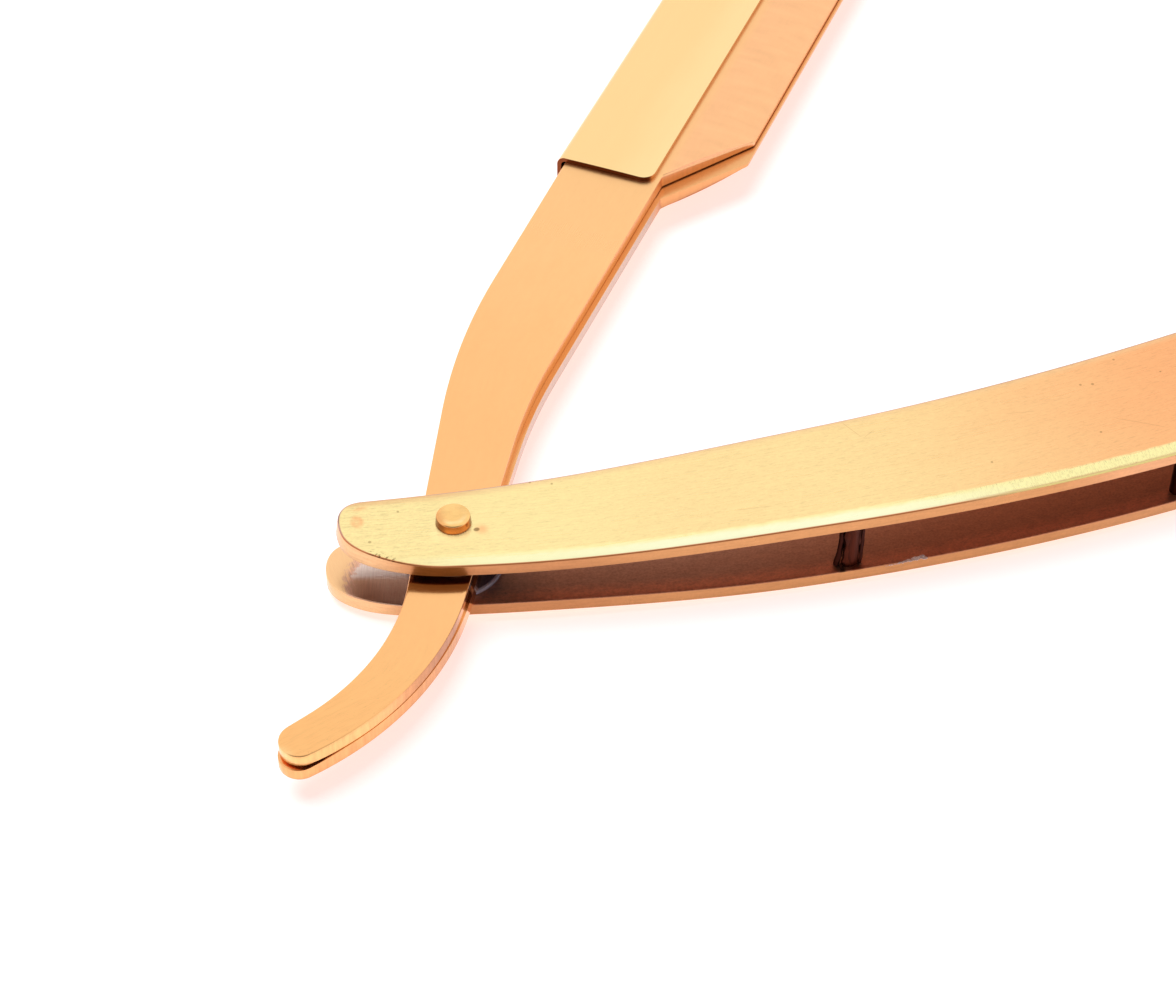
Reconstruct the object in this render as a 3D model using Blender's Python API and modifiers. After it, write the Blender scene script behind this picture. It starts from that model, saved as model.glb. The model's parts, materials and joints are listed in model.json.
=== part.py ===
"""A folding barber's razor that clamps half of a double-edged blade, lying open on a table.

Metres, +Z up. The pivot axis is the world's Z axis, and the rivet's lower head stands on Z = 0.
The handle runs along +X from the pivot and its concave edge faces +Y. The arm is modelled in a
frame of its own, with X along the jaws and +Y towards the spine, and an empty on the pivot axis
turns it open.
"""

import math

import bmesh
import bpy
from mathutils import Matrix, Vector

MM = 0.001

# Clearances
SEAT_GAP = 0.02 * MM
RUNNING_GAP = 0.03 * MM
RIVET_CLEARANCE = 0.06 * MM
CUT_OVERRUN = 2.0 * MM

# Handle plates
PLATE_THICKNESS = 1.5 * MM
HANDLE_FRONT = 9.95 * MM
HANDLE_REACH = 130.0 * MM
LOWER_PLATE_SHIFT = 1.55 * MM
CONCAVE_RADIUS = 280.0 * MM
CONCAVE_LOW_X = 51.8 * MM
CONCAVE_LOW_Y = -0.87 * MM
CONVEX_RADIUS = 228.0 * MM
CONVEX_LOW_X = 64.8 * MM
CONVEX_LOW_Y = -14.92 * MM
FRONT_TIP_Y = 2.1 * MM
FRONT_CONCAVE_ROUND = 3.0 * MM
FRONT_CONVEX_ROUND = 7.8 * MM
FAR_TIP_Y = 2.0 * MM
FAR_CONCAVE_ROUND = 6.0 * MM
FAR_CONVEX_ROUND = 9.0 * MM
FULL_ROUND_SHARE = 0.55
FLAT_ROUND_SHARE = 0.43
PLATE_EDGE_ROUND = 0.13 * MM
EDGE_CHAMFER_WIDTH = 1.35 * MM
EDGE_CHAMFER_DROP = 0.3 * MM
PLATE_FACET = 3.4 * MM

# Bow of the plates between the rivet, which pinches them, and the spacer pins
UPPER_BOW_HEIGHT = 0.95 * MM
UPPER_BOW_START = 2.0 * MM
UPPER_BOW_END = 33.0 * MM
LOWER_BOW_HEIGHT = 0.4 * MM
LOWER_BOW_START = 5.0 * MM
LOWER_BOW_END = 29.0 * MM
BOW_STATIONS = 12

# Rivet and washers
RIVET_RADIUS = 1.1 * MM
RIVET_HEAD_RADIUS = 1.55 * MM
RIVET_HEAD_HEIGHT = 0.8 * MM
RIVET_HEAD_ROUND = 0.3 * MM
RIVET_RING_RADIUS = 0.95 * MM
RIVET_RING_DEPTH = 0.05 * MM
WASHER_RADIUS = 4.5 * MM
WASHER_THICKNESS = 0.45 * MM
WASHER_EDGE_ROUND = 0.1 * MM

# Spacer pins
SPACER_RADIUS = 0.8 * MM
SPACER_INSET = 1.3 * MM
SPACER_FRONT_X = 34.2 * MM
SPACER_MIDDLE_X = 66.7 * MM
SPACER_END_MARGIN = 10.0 * MM

# Arm
ARM_OPEN_ANGLE = math.radians(48.4)
ARM_PLATE = 1.37 * MM
PARTING_GAP = 0.06 * MM
ARM_EDGE_ROUND = 0.3 * MM
ARM_INNER_EDGE_ROUND = 0.07 * MM
TAIL_REACH = 29.35 * MM
TAIL_TIP_INNER_X = 27.8 * MM
TAIL_TIP_INNER_Y = 5.2 * MM
TAIL_TIP_OUTER_Y = 2.0 * MM
TAIL_TIP_ROUND = 1.9 * MM
TAIL_TIP_STEP = 0.3 * MM
TAIL_BEND_INNER_X = 15.8 * MM
TAIL_BEND_INNER_Y = 1.05 * MM
TAIL_BEND_INNER_RADIUS = 22.9 * MM
TAIL_BEND_OUTER_X = 18.05 * MM
TAIL_BEND_OUTER_Y = 6.03 * MM
TAIL_BEND_OUTER_RADIUS = 30.4 * MM
TAIL_RELIEF_LENGTH = 5.8 * MM
TAIL_RELIEF_DEPTH = 0.26 * MM
SHANK_SPINE_BEND_X = 24.5 * MM
SHANK_SPINE_BEND_Y = 10.56 * MM
SHANK_SPINE_BEND_RADIUS = 74.0 * MM
SHANK_EDGE_BEND_X = 19.2 * MM
SHANK_EDGE_BEND_RADIUS = 65.0 * MM
UPPER_SHANK_EDGE_Y = 0.86 * MM
LOWER_SHANK_EDGE_Y = 0.31 * MM

# Jaws
JAW_START = 54.1 * MM
JAW_LENGTH = 53.0 * MM
SPINE_Y = 11.05 * MM
UPPER_HEEL_START = 55.6 * MM
UPPER_HEEL_END = 65.5 * MM
UPPER_EDGE_Y = -5.75 * MM
LOWER_HEEL_START = 53.75 * MM
LOWER_HEEL_END = 62.6 * MM
LOWER_EDGE_Y = -6.1 * MM
HEEL_ROUND = 0.6 * MM
NOSE_SPINE_ROUND = 8.0 * MM
NOSE_EDGE_ROUND = 3.0 * MM
JAW_ROLL_START = -0.5 * MM
JAW_ROLL_RADIUS = 16.0 * MM
JAW_ROLL_STEPS = 7
BLADE_POCKET_BACK = 3.45 * MM
BLADE_POCKET_DEPTH = 0.1 * MM
STUD_RADIUS = 1.0 * MM
STUD_HOLE_CLEARANCE = 0.15 * MM
STUD_SINK = 0.12 * MM
STUD_PITCH = 21.0 * MM

# Sleeve
SHEET = 0.45 * MM
SLEEVE_LENGTH = 48.0 * MM
SLEEVE_EDGE_Y = 1.55 * MM
SLEEVE_SPINE_GAP = 0.45 * MM
SLEEVE_FACE_GAP = 0.04 * MM
SLEEVE_BEND = 0.9 * MM
SLEEVE_CORNER_ROUND = 1.3 * MM
SLEEVE_EDGE_ROUND = 0.08 * MM

# Tolerances of the modelling steps
WELD_DISTANCE = 0.0001 * MM
TURNED_WELD_DISTANCE = 0.00001 * MM
PICK_MARGIN = 0.01 * MM
FLAT_ANGLE = math.radians(0.01)
FILLET_LIMIT_SHARE = 0.999999

# Facets
ROUND_FACETS = 48
PIN_FACETS = 28
CURVE_STEPS = 9
FACET_ANGLE = math.radians(9.0)
LONGEST_FACET = 1.6 * MM
HEAD_ROUND_STEPS = 3
SLEEVE_OUTER_BEND_STEPS = 5
SLEEVE_INNER_BEND_STEPS = 4
SHARP_ANGLE = math.radians(32.0)

# Heights worked out from the stack at the rivet
ARM_THICKNESS = 2 * ARM_PLATE + PARTING_GAP
HALF_GAP = ARM_THICKNESS / 2 + WASHER_THICKNESS + 2 * RUNNING_GAP
MID_Z = RIVET_HEAD_HEIGHT + SEAT_GAP + PLATE_THICKNESS + HALF_GAP

GOLD = (0.90, 0.60, 0.30, 1.0)
WARM_GOLD = (0.88, 0.53, 0.27, 1.0)
PALE_GOLD = (0.93, 0.68, 0.36, 1.0)
DARK_GOLD = (0.35, 0.17, 0.08, 1.0)
CLEAR_NYLON = (0.82, 0.80, 0.88, 0.45)


def clear_scene():
    for obj in list(bpy.data.objects):
        bpy.data.objects.remove(obj, do_unlink=True)


def new_collection(name):
    collection = bpy.data.collections.new(name)
    bpy.context.scene.collection.children.link(collection)
    return collection


def metal(name, colour, roughness=0.35, metallic=1.0):
    material = bpy.data.materials.new(name)
    material.use_nodes = True
    shader = material.node_tree.nodes["Principled BSDF"]
    shader.inputs["Base Color"].default_value = colour
    shader.inputs["Roughness"].default_value = roughness
    shader.inputs["Metallic"].default_value = metallic
    shader.inputs["Alpha"].default_value = colour[3]
    material.diffuse_color = colour
    return material


def evaluated_mesh(obj):
    bpy.context.view_layer.update()
    graph = bpy.context.evaluated_depsgraph_get()
    return bpy.data.meshes.new_from_object(obj.evaluated_get(graph))


def settle(obj):
    """Turns the object's modifiers into its mesh."""
    obj.data = evaluated_mesh(obj)
    obj.modifiers.clear()


def cut(obj, cutter):
    boolean = obj.modifiers.new("cut_" + cutter.name, "BOOLEAN")
    boolean.operation = "DIFFERENCE"
    boolean.object = cutter


def as_cutter(obj, cutters):
    for collection in list(obj.users_collection):
        collection.objects.unlink(obj)
    cutters.objects.link(obj)
    obj.hide_render = True
    obj.display_type = "WIRE"
    return obj


def finish_part(obj, parts, material, parent=None):
    for collection in list(obj.users_collection):
        collection.objects.unlink(obj)
    parts.objects.link(obj)
    obj.data.materials.clear()
    obj.data.materials.append(material)
    obj.data.shade_smooth()
    obj.data.set_sharp_from_angle(angle=SHARP_ANGLE)
    obj.parent = parent


def box(name, low, high, cutters):
    """A cutter that spans two opposite corners."""
    bpy.ops.mesh.primitive_cube_add(size=1.0)
    obj = bpy.context.object
    obj.name = name
    centre = (Vector(low) + Vector(high)) / 2
    span = Vector(high) - Vector(low)
    obj.data.transform(Matrix.Translation(centre) @ Matrix.Diagonal((*span, 1.0)))
    return as_cutter(obj, cutters)


def cylinder(name, radius, low_z, high_z, facets, x=0.0, y=0.0):
    bpy.ops.mesh.primitive_cylinder_add(radius=radius, depth=high_z - low_z, vertices=facets)
    obj = bpy.context.object
    obj.name = name
    obj.data.transform(Matrix.Translation((x, y, (low_z + high_z) / 2)))
    return obj


def turned(name, profile, facets, centre=(0.0, 0.0)):
    """A solid of revolution about a vertical axis, from a profile that runs down its outer side."""
    mesh = bpy.data.meshes.new(name)
    points = [(radius, 0.0, z) for radius, z in profile]
    loop = [(i, i + 1) for i in range(len(points) - 1)]
    if profile[0][0] > 0:
        loop.append((len(points) - 1, 0))
    mesh.from_pydata(points, loop, [])
    obj = bpy.data.objects.new(name, mesh)
    bpy.context.scene.collection.objects.link(obj)
    screw = obj.modifiers.new("turn", "SCREW")
    screw.angle = math.tau
    screw.steps = facets
    screw.render_steps = facets
    screw.use_merge_vertices = True
    screw.merge_threshold = TURNED_WELD_DISTANCE
    settle(obj)
    obj.data.transform(Matrix.Translation((centre[0], centre[1], 0.0)))
    return obj


def cubic(start, start_handle, end_handle, end, steps):
    """Points along a cubic curve, without its last one."""
    found = []
    for i in range(steps):
        t = i / steps
        s = 1 - t
        weights = (s**3, 3 * s * s * t, 3 * s * t * t, t**3)
        ends = (start, start_handle, end_handle, end)
        found.append(
            (
                sum(w * p[0] for w, p in zip(weights, ends)),
                sum(w * p[1] for w, p in zip(weights, ends)),
            )
        )
    return found


def rounded_polygon(corners):
    """The outline through the corners (x, y, radius), each one rounded as far as its sides allow."""
    places = [Vector(corner[:2]) for corner in corners]
    count = len(corners)
    reaches = []
    for i, corner in enumerate(corners):
        before = (places[i - 1] - places[i]).normalized()
        after = (places[(i + 1) % count] - places[i]).normalized()
        turn = math.pi - before.angle(after)
        reaches.append(corner[2] * math.tan(turn / 2))
    outline = []
    for i in range(count):
        here = places[i]
        previous = places[i - 1]
        following = places[(i + 1) % count]
        limit = 1.0
        for other, other_reach in ((previous, reaches[i - 1]), (following, reaches[(i + 1) % count])):
            room = (other - here).length
            limit = min(limit, room / (reaches[i] + other_reach))
        before = (previous - here).normalized()
        after = (following - here).normalized()
        turn = math.pi - before.angle(after)
        reach = reaches[i] * limit * FILLET_LIMIT_SHARE
        radius = reach / math.tan(turn / 2)
        middle = (before + after).normalized()
        centre = here + middle * math.hypot(radius, reach)
        first = here + before * reach - centre
        steps = max(2, math.ceil(turn / min(FACET_ANGLE, LONGEST_FACET / radius)))
        side = 1 if before.cross(after) < 0 else -1
        for step in range(steps + 1):
            swing = Matrix.Rotation(side * turn * step / steps, 2)
            outline.append(tuple(centre + swing @ first))
    return outline


def plate(name, outline, thickness):
    """A flat solid on its outline, its lower face on Z = 0."""
    curve = bpy.data.curves.new(name, "CURVE")
    curve.dimensions = "2D"
    curve.fill_mode = "BOTH"
    curve.extrude = thickness / 2
    spline = curve.splines.new("POLY")
    spline.points.add(len(outline) - 1)
    for point, (x, y) in zip(spline.points, outline):
        point.co = (x, y, 0.0, 1.0)
    spline.use_cyclic_u = True
    guide = bpy.data.objects.new(name + "_outline", curve)
    bpy.context.scene.collection.objects.link(guide)
    mesh = evaluated_mesh(guide)
    bpy.data.objects.remove(guide, do_unlink=True)
    shape = bmesh.new()
    shape.from_mesh(mesh)
    bmesh.ops.remove_doubles(shape, verts=shape.verts, dist=WELD_DISTANCE)
    caps = [edge for edge in shape.edges if edge.calc_face_angle(0.0) < FLAT_ANGLE]
    bmesh.ops.dissolve_edges(shape, edges=caps, use_verts=False)
    bmesh.ops.translate(shape, verts=shape.verts, vec=(0.0, 0.0, thickness / 2))
    bmesh.ops.recalc_face_normals(shape, faces=shape.faces)
    shape.to_mesh(mesh)
    shape.free()
    obj = bpy.data.objects.new(name, mesh)
    bpy.context.scene.collection.objects.link(obj)
    return obj


def round_rim(obj, z, width, segments):
    """Rounds the sharp edges that lie at one height."""
    shape = bmesh.new()
    shape.from_mesh(obj.data)
    rim = [
        edge
        for edge in shape.edges
        if all(abs(vertex.co.z - z) < PICK_MARGIN for vertex in edge.verts)
        and edge.calc_face_angle(0.0) > SHARP_ANGLE
    ]
    bmesh.ops.bevel(
        shape,
        geom=rim,
        offset=width,
        segments=segments,
        profile=0.5,
        affect="EDGES",
        clamp_overlap=True,
    )
    shape.to_mesh(obj.data)
    shape.free()


def concave_edge(x):
    return CONCAVE_LOW_Y + CONCAVE_RADIUS - math.sqrt(CONCAVE_RADIUS**2 - (x - CONCAVE_LOW_X) ** 2)


def convex_edge(x):
    return CONVEX_LOW_Y + CONVEX_RADIUS - math.sqrt(CONVEX_RADIUS**2 - (x - CONVEX_LOW_X) ** 2)


def stations(start, end):
    """Places from start to end, evenly spaced, without the last one."""
    count = max(2, round(abs(end - start) / PLATE_FACET))
    return [start + (end - start) * i / count for i in range(count)]


def handle_outline():
    """The plate's outline, round from the front end's top corner by way of the convex edge."""
    front_top = -HANDLE_FRONT + FRONT_CONCAVE_ROUND
    front_bottom = -HANDLE_FRONT + FRONT_CONVEX_ROUND
    far_top = HANDLE_REACH - FAR_CONCAVE_ROUND
    far_bottom = HANDLE_REACH - FAR_CONVEX_ROUND

    def rounding(from_x, from_y, slope, tip_x, tip_y, share):
        """The two handles of a curve from an edge to the tip of an end."""
        run = (tip_x - from_x) * share
        rise = (tip_y - from_y) * share
        return (from_x + run, from_y + run * slope), (tip_x, tip_y - rise)

    def slope_of(edge, x):
        reach = PLATE_FACET / 2
        return (edge(x + reach) - edge(x - reach)) / (2 * reach)

    outline = []
    start = (front_top, concave_edge(front_top))
    tip = (-HANDLE_FRONT, FRONT_TIP_Y)
    near, far = rounding(*start, slope_of(concave_edge, front_top), *tip, FULL_ROUND_SHARE)
    outline += cubic(start, near, far, tip, CURVE_STEPS)
    start = (front_bottom, convex_edge(front_bottom))
    near, far = rounding(*start, slope_of(convex_edge, front_bottom), *tip, FLAT_ROUND_SHARE)
    outline += cubic(tip, far, near, start, CURVE_STEPS)
    outline += [(x, convex_edge(x)) for x in stations(front_bottom, far_bottom)]
    start = (far_bottom, convex_edge(far_bottom))
    tip = (HANDLE_REACH, FAR_TIP_Y)
    near, far = rounding(*start, slope_of(convex_edge, far_bottom), *tip, FULL_ROUND_SHARE)
    outline += cubic(start, near, far, tip, CURVE_STEPS)
    start = (far_top, concave_edge(far_top))
    near, far = rounding(*start, slope_of(concave_edge, far_top), *tip, FULL_ROUND_SHARE)
    outline += cubic(tip, far, near, start, CURVE_STEPS)
    outline += [(x, concave_edge(x)) for x in stations(far_top, front_top)]
    return outline


def edge_chamfer_cutter(name, cutters):
    """A cone about the convex edge's centre, that takes a shallow chamfer off the outer face."""
    inner = CONVEX_RADIUS - EDGE_CHAMFER_WIDTH
    outer = CONVEX_RADIUS + CUT_OVERRUN
    slope = EDGE_CHAMFER_DROP / EDGE_CHAMFER_WIDTH
    low = PLATE_THICKNESS - slope * (outer - inner)
    high = PLATE_THICKNESS + CUT_OVERRUN
    profile = [(inner, high), (outer, high), (outer, low), (inner, PLATE_THICKNESS)]
    centre = (CONVEX_LOW_X, CONVEX_LOW_Y + CONVEX_RADIUS)
    facets = round(math.tau * CONVEX_RADIUS / PLATE_FACET)
    ring = turned(name, profile, facets, centre=centre)
    return as_cutter(ring, cutters)


def bow(obj, height, start, end):
    """Springs the plate outwards between the rivet and the spacer pins, in a smooth ramp."""
    shape = bmesh.new()
    shape.from_mesh(obj.data)
    for i in range(BOW_STATIONS + 1):
        place = (start + (end - start) * i / BOW_STATIONS, 0.0, 0.0)
        everything = list(shape.verts) + list(shape.edges) + list(shape.faces)
        bmesh.ops.bisect_plane(
            shape, geom=everything, dist=WELD_DISTANCE, plane_co=place, plane_no=(1.0, 0.0, 0.0)
        )
    for vertex in shape.verts:
        t = min(1.0, max(0.0, (vertex.co.x - start) / (end - start)))
        vertex.co.z += height * t * t * (3 - 2 * t)
    shape.to_mesh(obj.data)
    shape.free()


def flip_over(obj):
    """Mirrors the mesh in the plane Z = 0 and keeps its faces outward."""
    obj.data.transform(Matrix.Diagonal((1.0, 1.0, -1.0, 1.0)))
    obj.data.flip_normals()


def handle_plate(name, upper, parts, cutters, material):
    """One handle plate: rounded outer rim, chamfered convex edge, rivet hole and sprung bow."""
    obj = plate(name, handle_outline(), PLATE_THICKNESS)
    round_rim(obj, PLATE_THICKNESS, PLATE_EDGE_ROUND, 2)
    round_rim(obj, 0.0, PLATE_EDGE_ROUND, 1)
    cut(obj, edge_chamfer_cutter(name + "_edge_cone", cutters))
    settle(obj)
    if not upper:
        obj.data.transform(Matrix.Translation((-LOWER_PLATE_SHIFT, 0.0, 0.0)))
    hole = cylinder(
        name + "_rivet_hole",
        RIVET_RADIUS + SEAT_GAP,
        -CUT_OVERRUN,
        PLATE_THICKNESS + CUT_OVERRUN,
        ROUND_FACETS,
    )
    cut(obj, as_cutter(hole, cutters))
    settle(obj)
    if upper:
        bow(obj, UPPER_BOW_HEIGHT, UPPER_BOW_START, UPPER_BOW_END)
    else:
        bow(obj, LOWER_BOW_HEIGHT, LOWER_BOW_START, LOWER_BOW_END)
    obj.data.transform(Matrix.Translation((0.0, 0.0, HALF_GAP)))
    if not upper:
        flip_over(obj)
    obj.location.z = MID_Z
    finish_part(obj, parts, material)


def pivot_rivet(parts, material):
    """A round rivet with a low head at each end and a faint turned ring on its upper head."""
    head_face = HALF_GAP + PLATE_THICKNESS + SEAT_GAP
    top = head_face + RIVET_HEAD_HEIGHT

    def head_rim(height, outward):
        rim = []
        for i in range(HEAD_ROUND_STEPS + 1):
            angle = math.pi / 2 * i / HEAD_ROUND_STEPS
            radius = RIVET_HEAD_RADIUS - RIVET_HEAD_ROUND * (1 - math.sin(angle))
            z = height - RIVET_HEAD_ROUND * (1 - math.cos(angle))
            rim.append((radius, outward * z))
        return rim

    profile = [(0.0, top)]
    profile.append((RIVET_RING_RADIUS - RIVET_RING_DEPTH, top))
    profile.append((RIVET_RING_RADIUS, top - RIVET_RING_DEPTH))
    profile.append((RIVET_RING_RADIUS + RIVET_RING_DEPTH, top))
    profile += head_rim(top, 1)
    profile.append((RIVET_HEAD_RADIUS, head_face))
    profile.append((RIVET_RADIUS, head_face))
    profile.append((RIVET_RADIUS, -head_face))
    profile.append((RIVET_HEAD_RADIUS, -head_face))
    profile += reversed(head_rim(top, -1))
    profile.append((0.0, -top))
    obj = turned("pivot_rivet", profile, ROUND_FACETS)
    obj.location.z = MID_Z
    finish_part(obj, parts, material)


def washer(name, side, parts, material):
    """A flat ring with a softened rim that keeps the arm off the handle plate."""
    inner = RIVET_RADIUS + RIVET_CLEARANCE
    low = ARM_THICKNESS / 2 + RUNNING_GAP
    high = low + WASHER_THICKNESS
    soft = WASHER_EDGE_ROUND
    profile = [
        (inner, high),
        (WASHER_RADIUS - soft, high),
        (WASHER_RADIUS, high - soft),
        (WASHER_RADIUS, low + soft),
        (WASHER_RADIUS - soft, low),
        (inner, low),
    ]
    obj = turned(name, profile, ROUND_FACETS)
    if side < 0:
        flip_over(obj)
    obj.location.z = MID_Z
    finish_part(obj, parts, material)


def spacer_pin(name, x, parts, material):
    """A straight pin between the bowed plates, set in from the convex edge."""
    low = -HALF_GAP - LOWER_BOW_HEIGHT + SEAT_GAP
    high = HALF_GAP + UPPER_BOW_HEIGHT - SEAT_GAP
    obj = cylinder(name, SPACER_RADIUS, low, high, PIN_FACETS)
    obj.location = (x, convex_edge(x) + SPACER_INSET, MID_Z)
    finish_part(obj, parts, material)


def arm_outline(upper):
    """One half's outline in the arm's frame, counted round from the tail's tip along the spine."""
    nose = JAW_START + JAW_LENGTH
    if upper:
        step = TAIL_TIP_STEP
        shank_edge = UPPER_SHANK_EDGE_Y
        heel_start, heel_end, jaw_edge = UPPER_HEEL_START, UPPER_HEEL_END, UPPER_EDGE_Y
    else:
        step = 0.0
        shank_edge = LOWER_SHANK_EDGE_Y
        heel_start, heel_end, jaw_edge = LOWER_HEEL_START, LOWER_HEEL_END, LOWER_EDGE_Y
    return rounded_polygon(
        [
            (step - TAIL_TIP_INNER_X, TAIL_TIP_INNER_Y, TAIL_TIP_ROUND),
            (-TAIL_BEND_INNER_X, -TAIL_BEND_INNER_Y, TAIL_BEND_INNER_RADIUS),
            (SHANK_SPINE_BEND_X, SHANK_SPINE_BEND_Y, SHANK_SPINE_BEND_RADIUS),
            (JAW_START, SPINE_Y, SHANK_SPINE_BEND_RADIUS),
            (nose, SPINE_Y, NOSE_SPINE_ROUND),
            (nose, jaw_edge, NOSE_EDGE_ROUND),
            (heel_end, jaw_edge, HEEL_ROUND),
            (heel_start, shank_edge, HEEL_ROUND),
            (SHANK_EDGE_BEND_X, shank_edge, SHANK_EDGE_BEND_RADIUS),
            (-TAIL_BEND_OUTER_X, -TAIL_BEND_OUTER_Y, TAIL_BEND_OUTER_RADIUS),
            (step - TAIL_REACH, TAIL_TIP_OUTER_Y, TAIL_TIP_ROUND),
        ]
    )


def stud_places():
    """The two studs stand on the blade's back edge, either side of its middle."""
    middle = (UPPER_HEEL_END + JAW_START + JAW_LENGTH) / 2
    return [middle - STUD_PITCH / 2, middle + STUD_PITCH / 2]


def jaw_roll_cutter(name, cutters):
    """A block hollowed to the gentle round that thins the jaw towards its cutting edge."""
    face = PARTING_GAP / 2 + ARM_PLATE
    reach = JAW_ROLL_START - LOWER_EDGE_Y + CUT_OVERRUN
    profile = []
    for i in range(JAW_ROLL_STEPS + 1):
        across = reach * i / JAW_ROLL_STEPS
        drop = JAW_ROLL_RADIUS - math.sqrt(JAW_ROLL_RADIUS**2 - across**2)
        profile.append((JAW_ROLL_START - across, face - drop))
    profile.append((JAW_ROLL_START - reach, face + CUT_OVERRUN))
    profile.append((JAW_ROLL_START, face + CUT_OVERRUN))
    block = plate(name, profile, JAW_LENGTH + 2 * CUT_OVERRUN)
    turn = Matrix(((0.0, 0.0, 1.0), (1.0, 0.0, 0.0), (0.0, 1.0, 0.0)))
    place = Matrix.Translation((LOWER_HEEL_START - CUT_OVERRUN, 0.0, 0.0))
    block.data.transform(place @ turn.to_4x4())
    return as_cutter(block, cutters)


def tail_relief_cutter(name, cutters):
    """A tilted block that opens a narrow mouth between the halves at the tail's tip."""
    tip = Vector((-TAIL_REACH, (TAIL_TIP_INNER_Y + TAIL_TIP_OUTER_Y) / 2, PARTING_GAP / 2))
    bend = Vector((-TAIL_BEND_OUTER_X, -TAIL_BEND_OUTER_Y, PARTING_GAP / 2))
    outer_tip = Vector((-TAIL_REACH, TAIL_TIP_OUTER_Y, PARTING_GAP / 2))
    run = outer_tip - bend
    heading = math.atan2(run.y, run.x)
    tilt = math.atan2(TAIL_RELIEF_DEPTH, TAIL_RELIEF_LENGTH)
    reach = TAIL_RELIEF_LENGTH + 2 * CUT_OVERRUN
    low = (0.0, -reach, -2 * CUT_OVERRUN)
    high = (reach, reach, 0.0)
    block = box(name, low, high, cutters)
    root = tip - Matrix.Rotation(heading, 3, "Z") @ Vector((TAIL_RELIEF_LENGTH, 0.0, 0.0))
    turn = Matrix.Rotation(heading, 4, "Z") @ Matrix.Rotation(-tilt, 4, "Y")
    block.data.transform(Matrix.Translation(root) @ turn)
    return block


def arm_half(name, side, parts, cutters, material, arm):
    """One half of the arm: tail, shank and a jaw that thins towards the blade's edge."""
    inner = PARTING_GAP / 2
    outer = inner + ARM_PLATE
    obj = plate(name, arm_outline(side > 0), ARM_PLATE)
    obj.data.transform(Matrix.Translation((0.0, 0.0, inner)))
    round_rim(obj, outer, ARM_EDGE_ROUND, 2)
    round_rim(obj, inner, ARM_INNER_EDGE_ROUND, 1)
    cut(obj, jaw_roll_cutter(name + "_jaw_roll", cutters))
    cut(obj, tail_relief_cutter(name + "_tail_relief", cutters))
    pocket_low = (LOWER_HEEL_START, LOWER_EDGE_Y - CUT_OVERRUN, inner - CUT_OVERRUN)
    pocket_high = (
        JAW_START + JAW_LENGTH + CUT_OVERRUN,
        BLADE_POCKET_BACK,
        inner + BLADE_POCKET_DEPTH,
    )
    cut(obj, box(name + "_blade_pocket", pocket_low, pocket_high, cutters))
    hole = cylinder(
        name + "_rivet_hole",
        RIVET_RADIUS + RIVET_CLEARANCE,
        inner - CUT_OVERRUN,
        outer + CUT_OVERRUN,
        ROUND_FACETS,
    )
    cut(obj, as_cutter(hole, cutters))
    stud_gap = STUD_HOLE_CLEARANCE if side > 0 else SEAT_GAP
    for place, x in zip(("heel", "nose"), stud_places()):
        stud_hole = cylinder(
            f"{name}_{place}_stud_hole",
            STUD_RADIUS + stud_gap,
            inner - CUT_OVERRUN,
            outer + CUT_OVERRUN,
            PIN_FACETS,
            x=x,
            y=BLADE_POCKET_BACK,
        )
        cut(obj, as_cutter(stud_hole, cutters))
    settle(obj)
    if side < 0:
        flip_over(obj)
    finish_part(obj, parts, material, parent=arm)


def blade_stud(name, x, parts, material, arm):
    """A short stud fixed in the lower jaw, that reaches into a hole in the upper one."""
    half = ARM_THICKNESS / 2 - STUD_SINK
    obj = cylinder(name, STUD_RADIUS, -half, half, PIN_FACETS, x=x, y=BLADE_POCKET_BACK)
    finish_part(obj, parts, material, parent=arm)


def blade_sleeve(parts, cutters, material, arm):
    """A folded sheet clip round the jaws' spine, open towards the cutting edge."""
    inner_half = ARM_THICKNESS / 2 + SLEEVE_FACE_GAP
    outer_half = inner_half + SHEET
    inner_spine = SPINE_Y + SLEEVE_SPINE_GAP
    outer_spine = inner_spine + SHEET
    start = JAW_START
    end = JAW_START + SLEEVE_LENGTH
    outline = rounded_polygon(
        [
            (start, SLEEVE_EDGE_Y, SLEEVE_CORNER_ROUND),
            (start, outer_spine, SLEEVE_EDGE_ROUND),
            (end, outer_spine, SLEEVE_EDGE_ROUND),
            (end, SLEEVE_EDGE_Y, SLEEVE_CORNER_ROUND),
        ]
    )
    obj = plate("blade_sleeve", outline, 2 * outer_half)
    obj.data.transform(Matrix.Translation((0.0, 0.0, -outer_half)))
    shape = bmesh.new()
    shape.from_mesh(obj.data)
    spine_edges = [
        edge
        for edge in shape.edges
        if all(vertex.co.y > outer_spine - PICK_MARGIN for vertex in edge.verts)
        and abs(edge.verts[0].co.z - edge.verts[1].co.z) < PICK_MARGIN
        and edge.calc_face_angle(0.0) > SHARP_ANGLE
    ]
    bmesh.ops.bevel(
        shape,
        geom=spine_edges,
        offset=SLEEVE_BEND,
        segments=SLEEVE_OUTER_BEND_STEPS,
        profile=0.5,
        affect="EDGES",
        clamp_overlap=True,
    )
    shape.to_mesh(obj.data)
    shape.free()
    slot_low = (start - CUT_OVERRUN, SLEEVE_EDGE_Y - CUT_OVERRUN, -inner_half)
    slot_high = (end + CUT_OVERRUN, inner_spine, inner_half)
    slot = box("sleeve_slot", slot_low, slot_high, cutters)
    rounding = slot.modifiers.new("bend", "BEVEL")
    rounding.width = SLEEVE_BEND - SHEET
    rounding.segments = SLEEVE_INNER_BEND_STEPS
    settle(slot)
    cut(obj, slot)
    settle(obj)
    finish_part(obj, parts, material, parent=arm)


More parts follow.
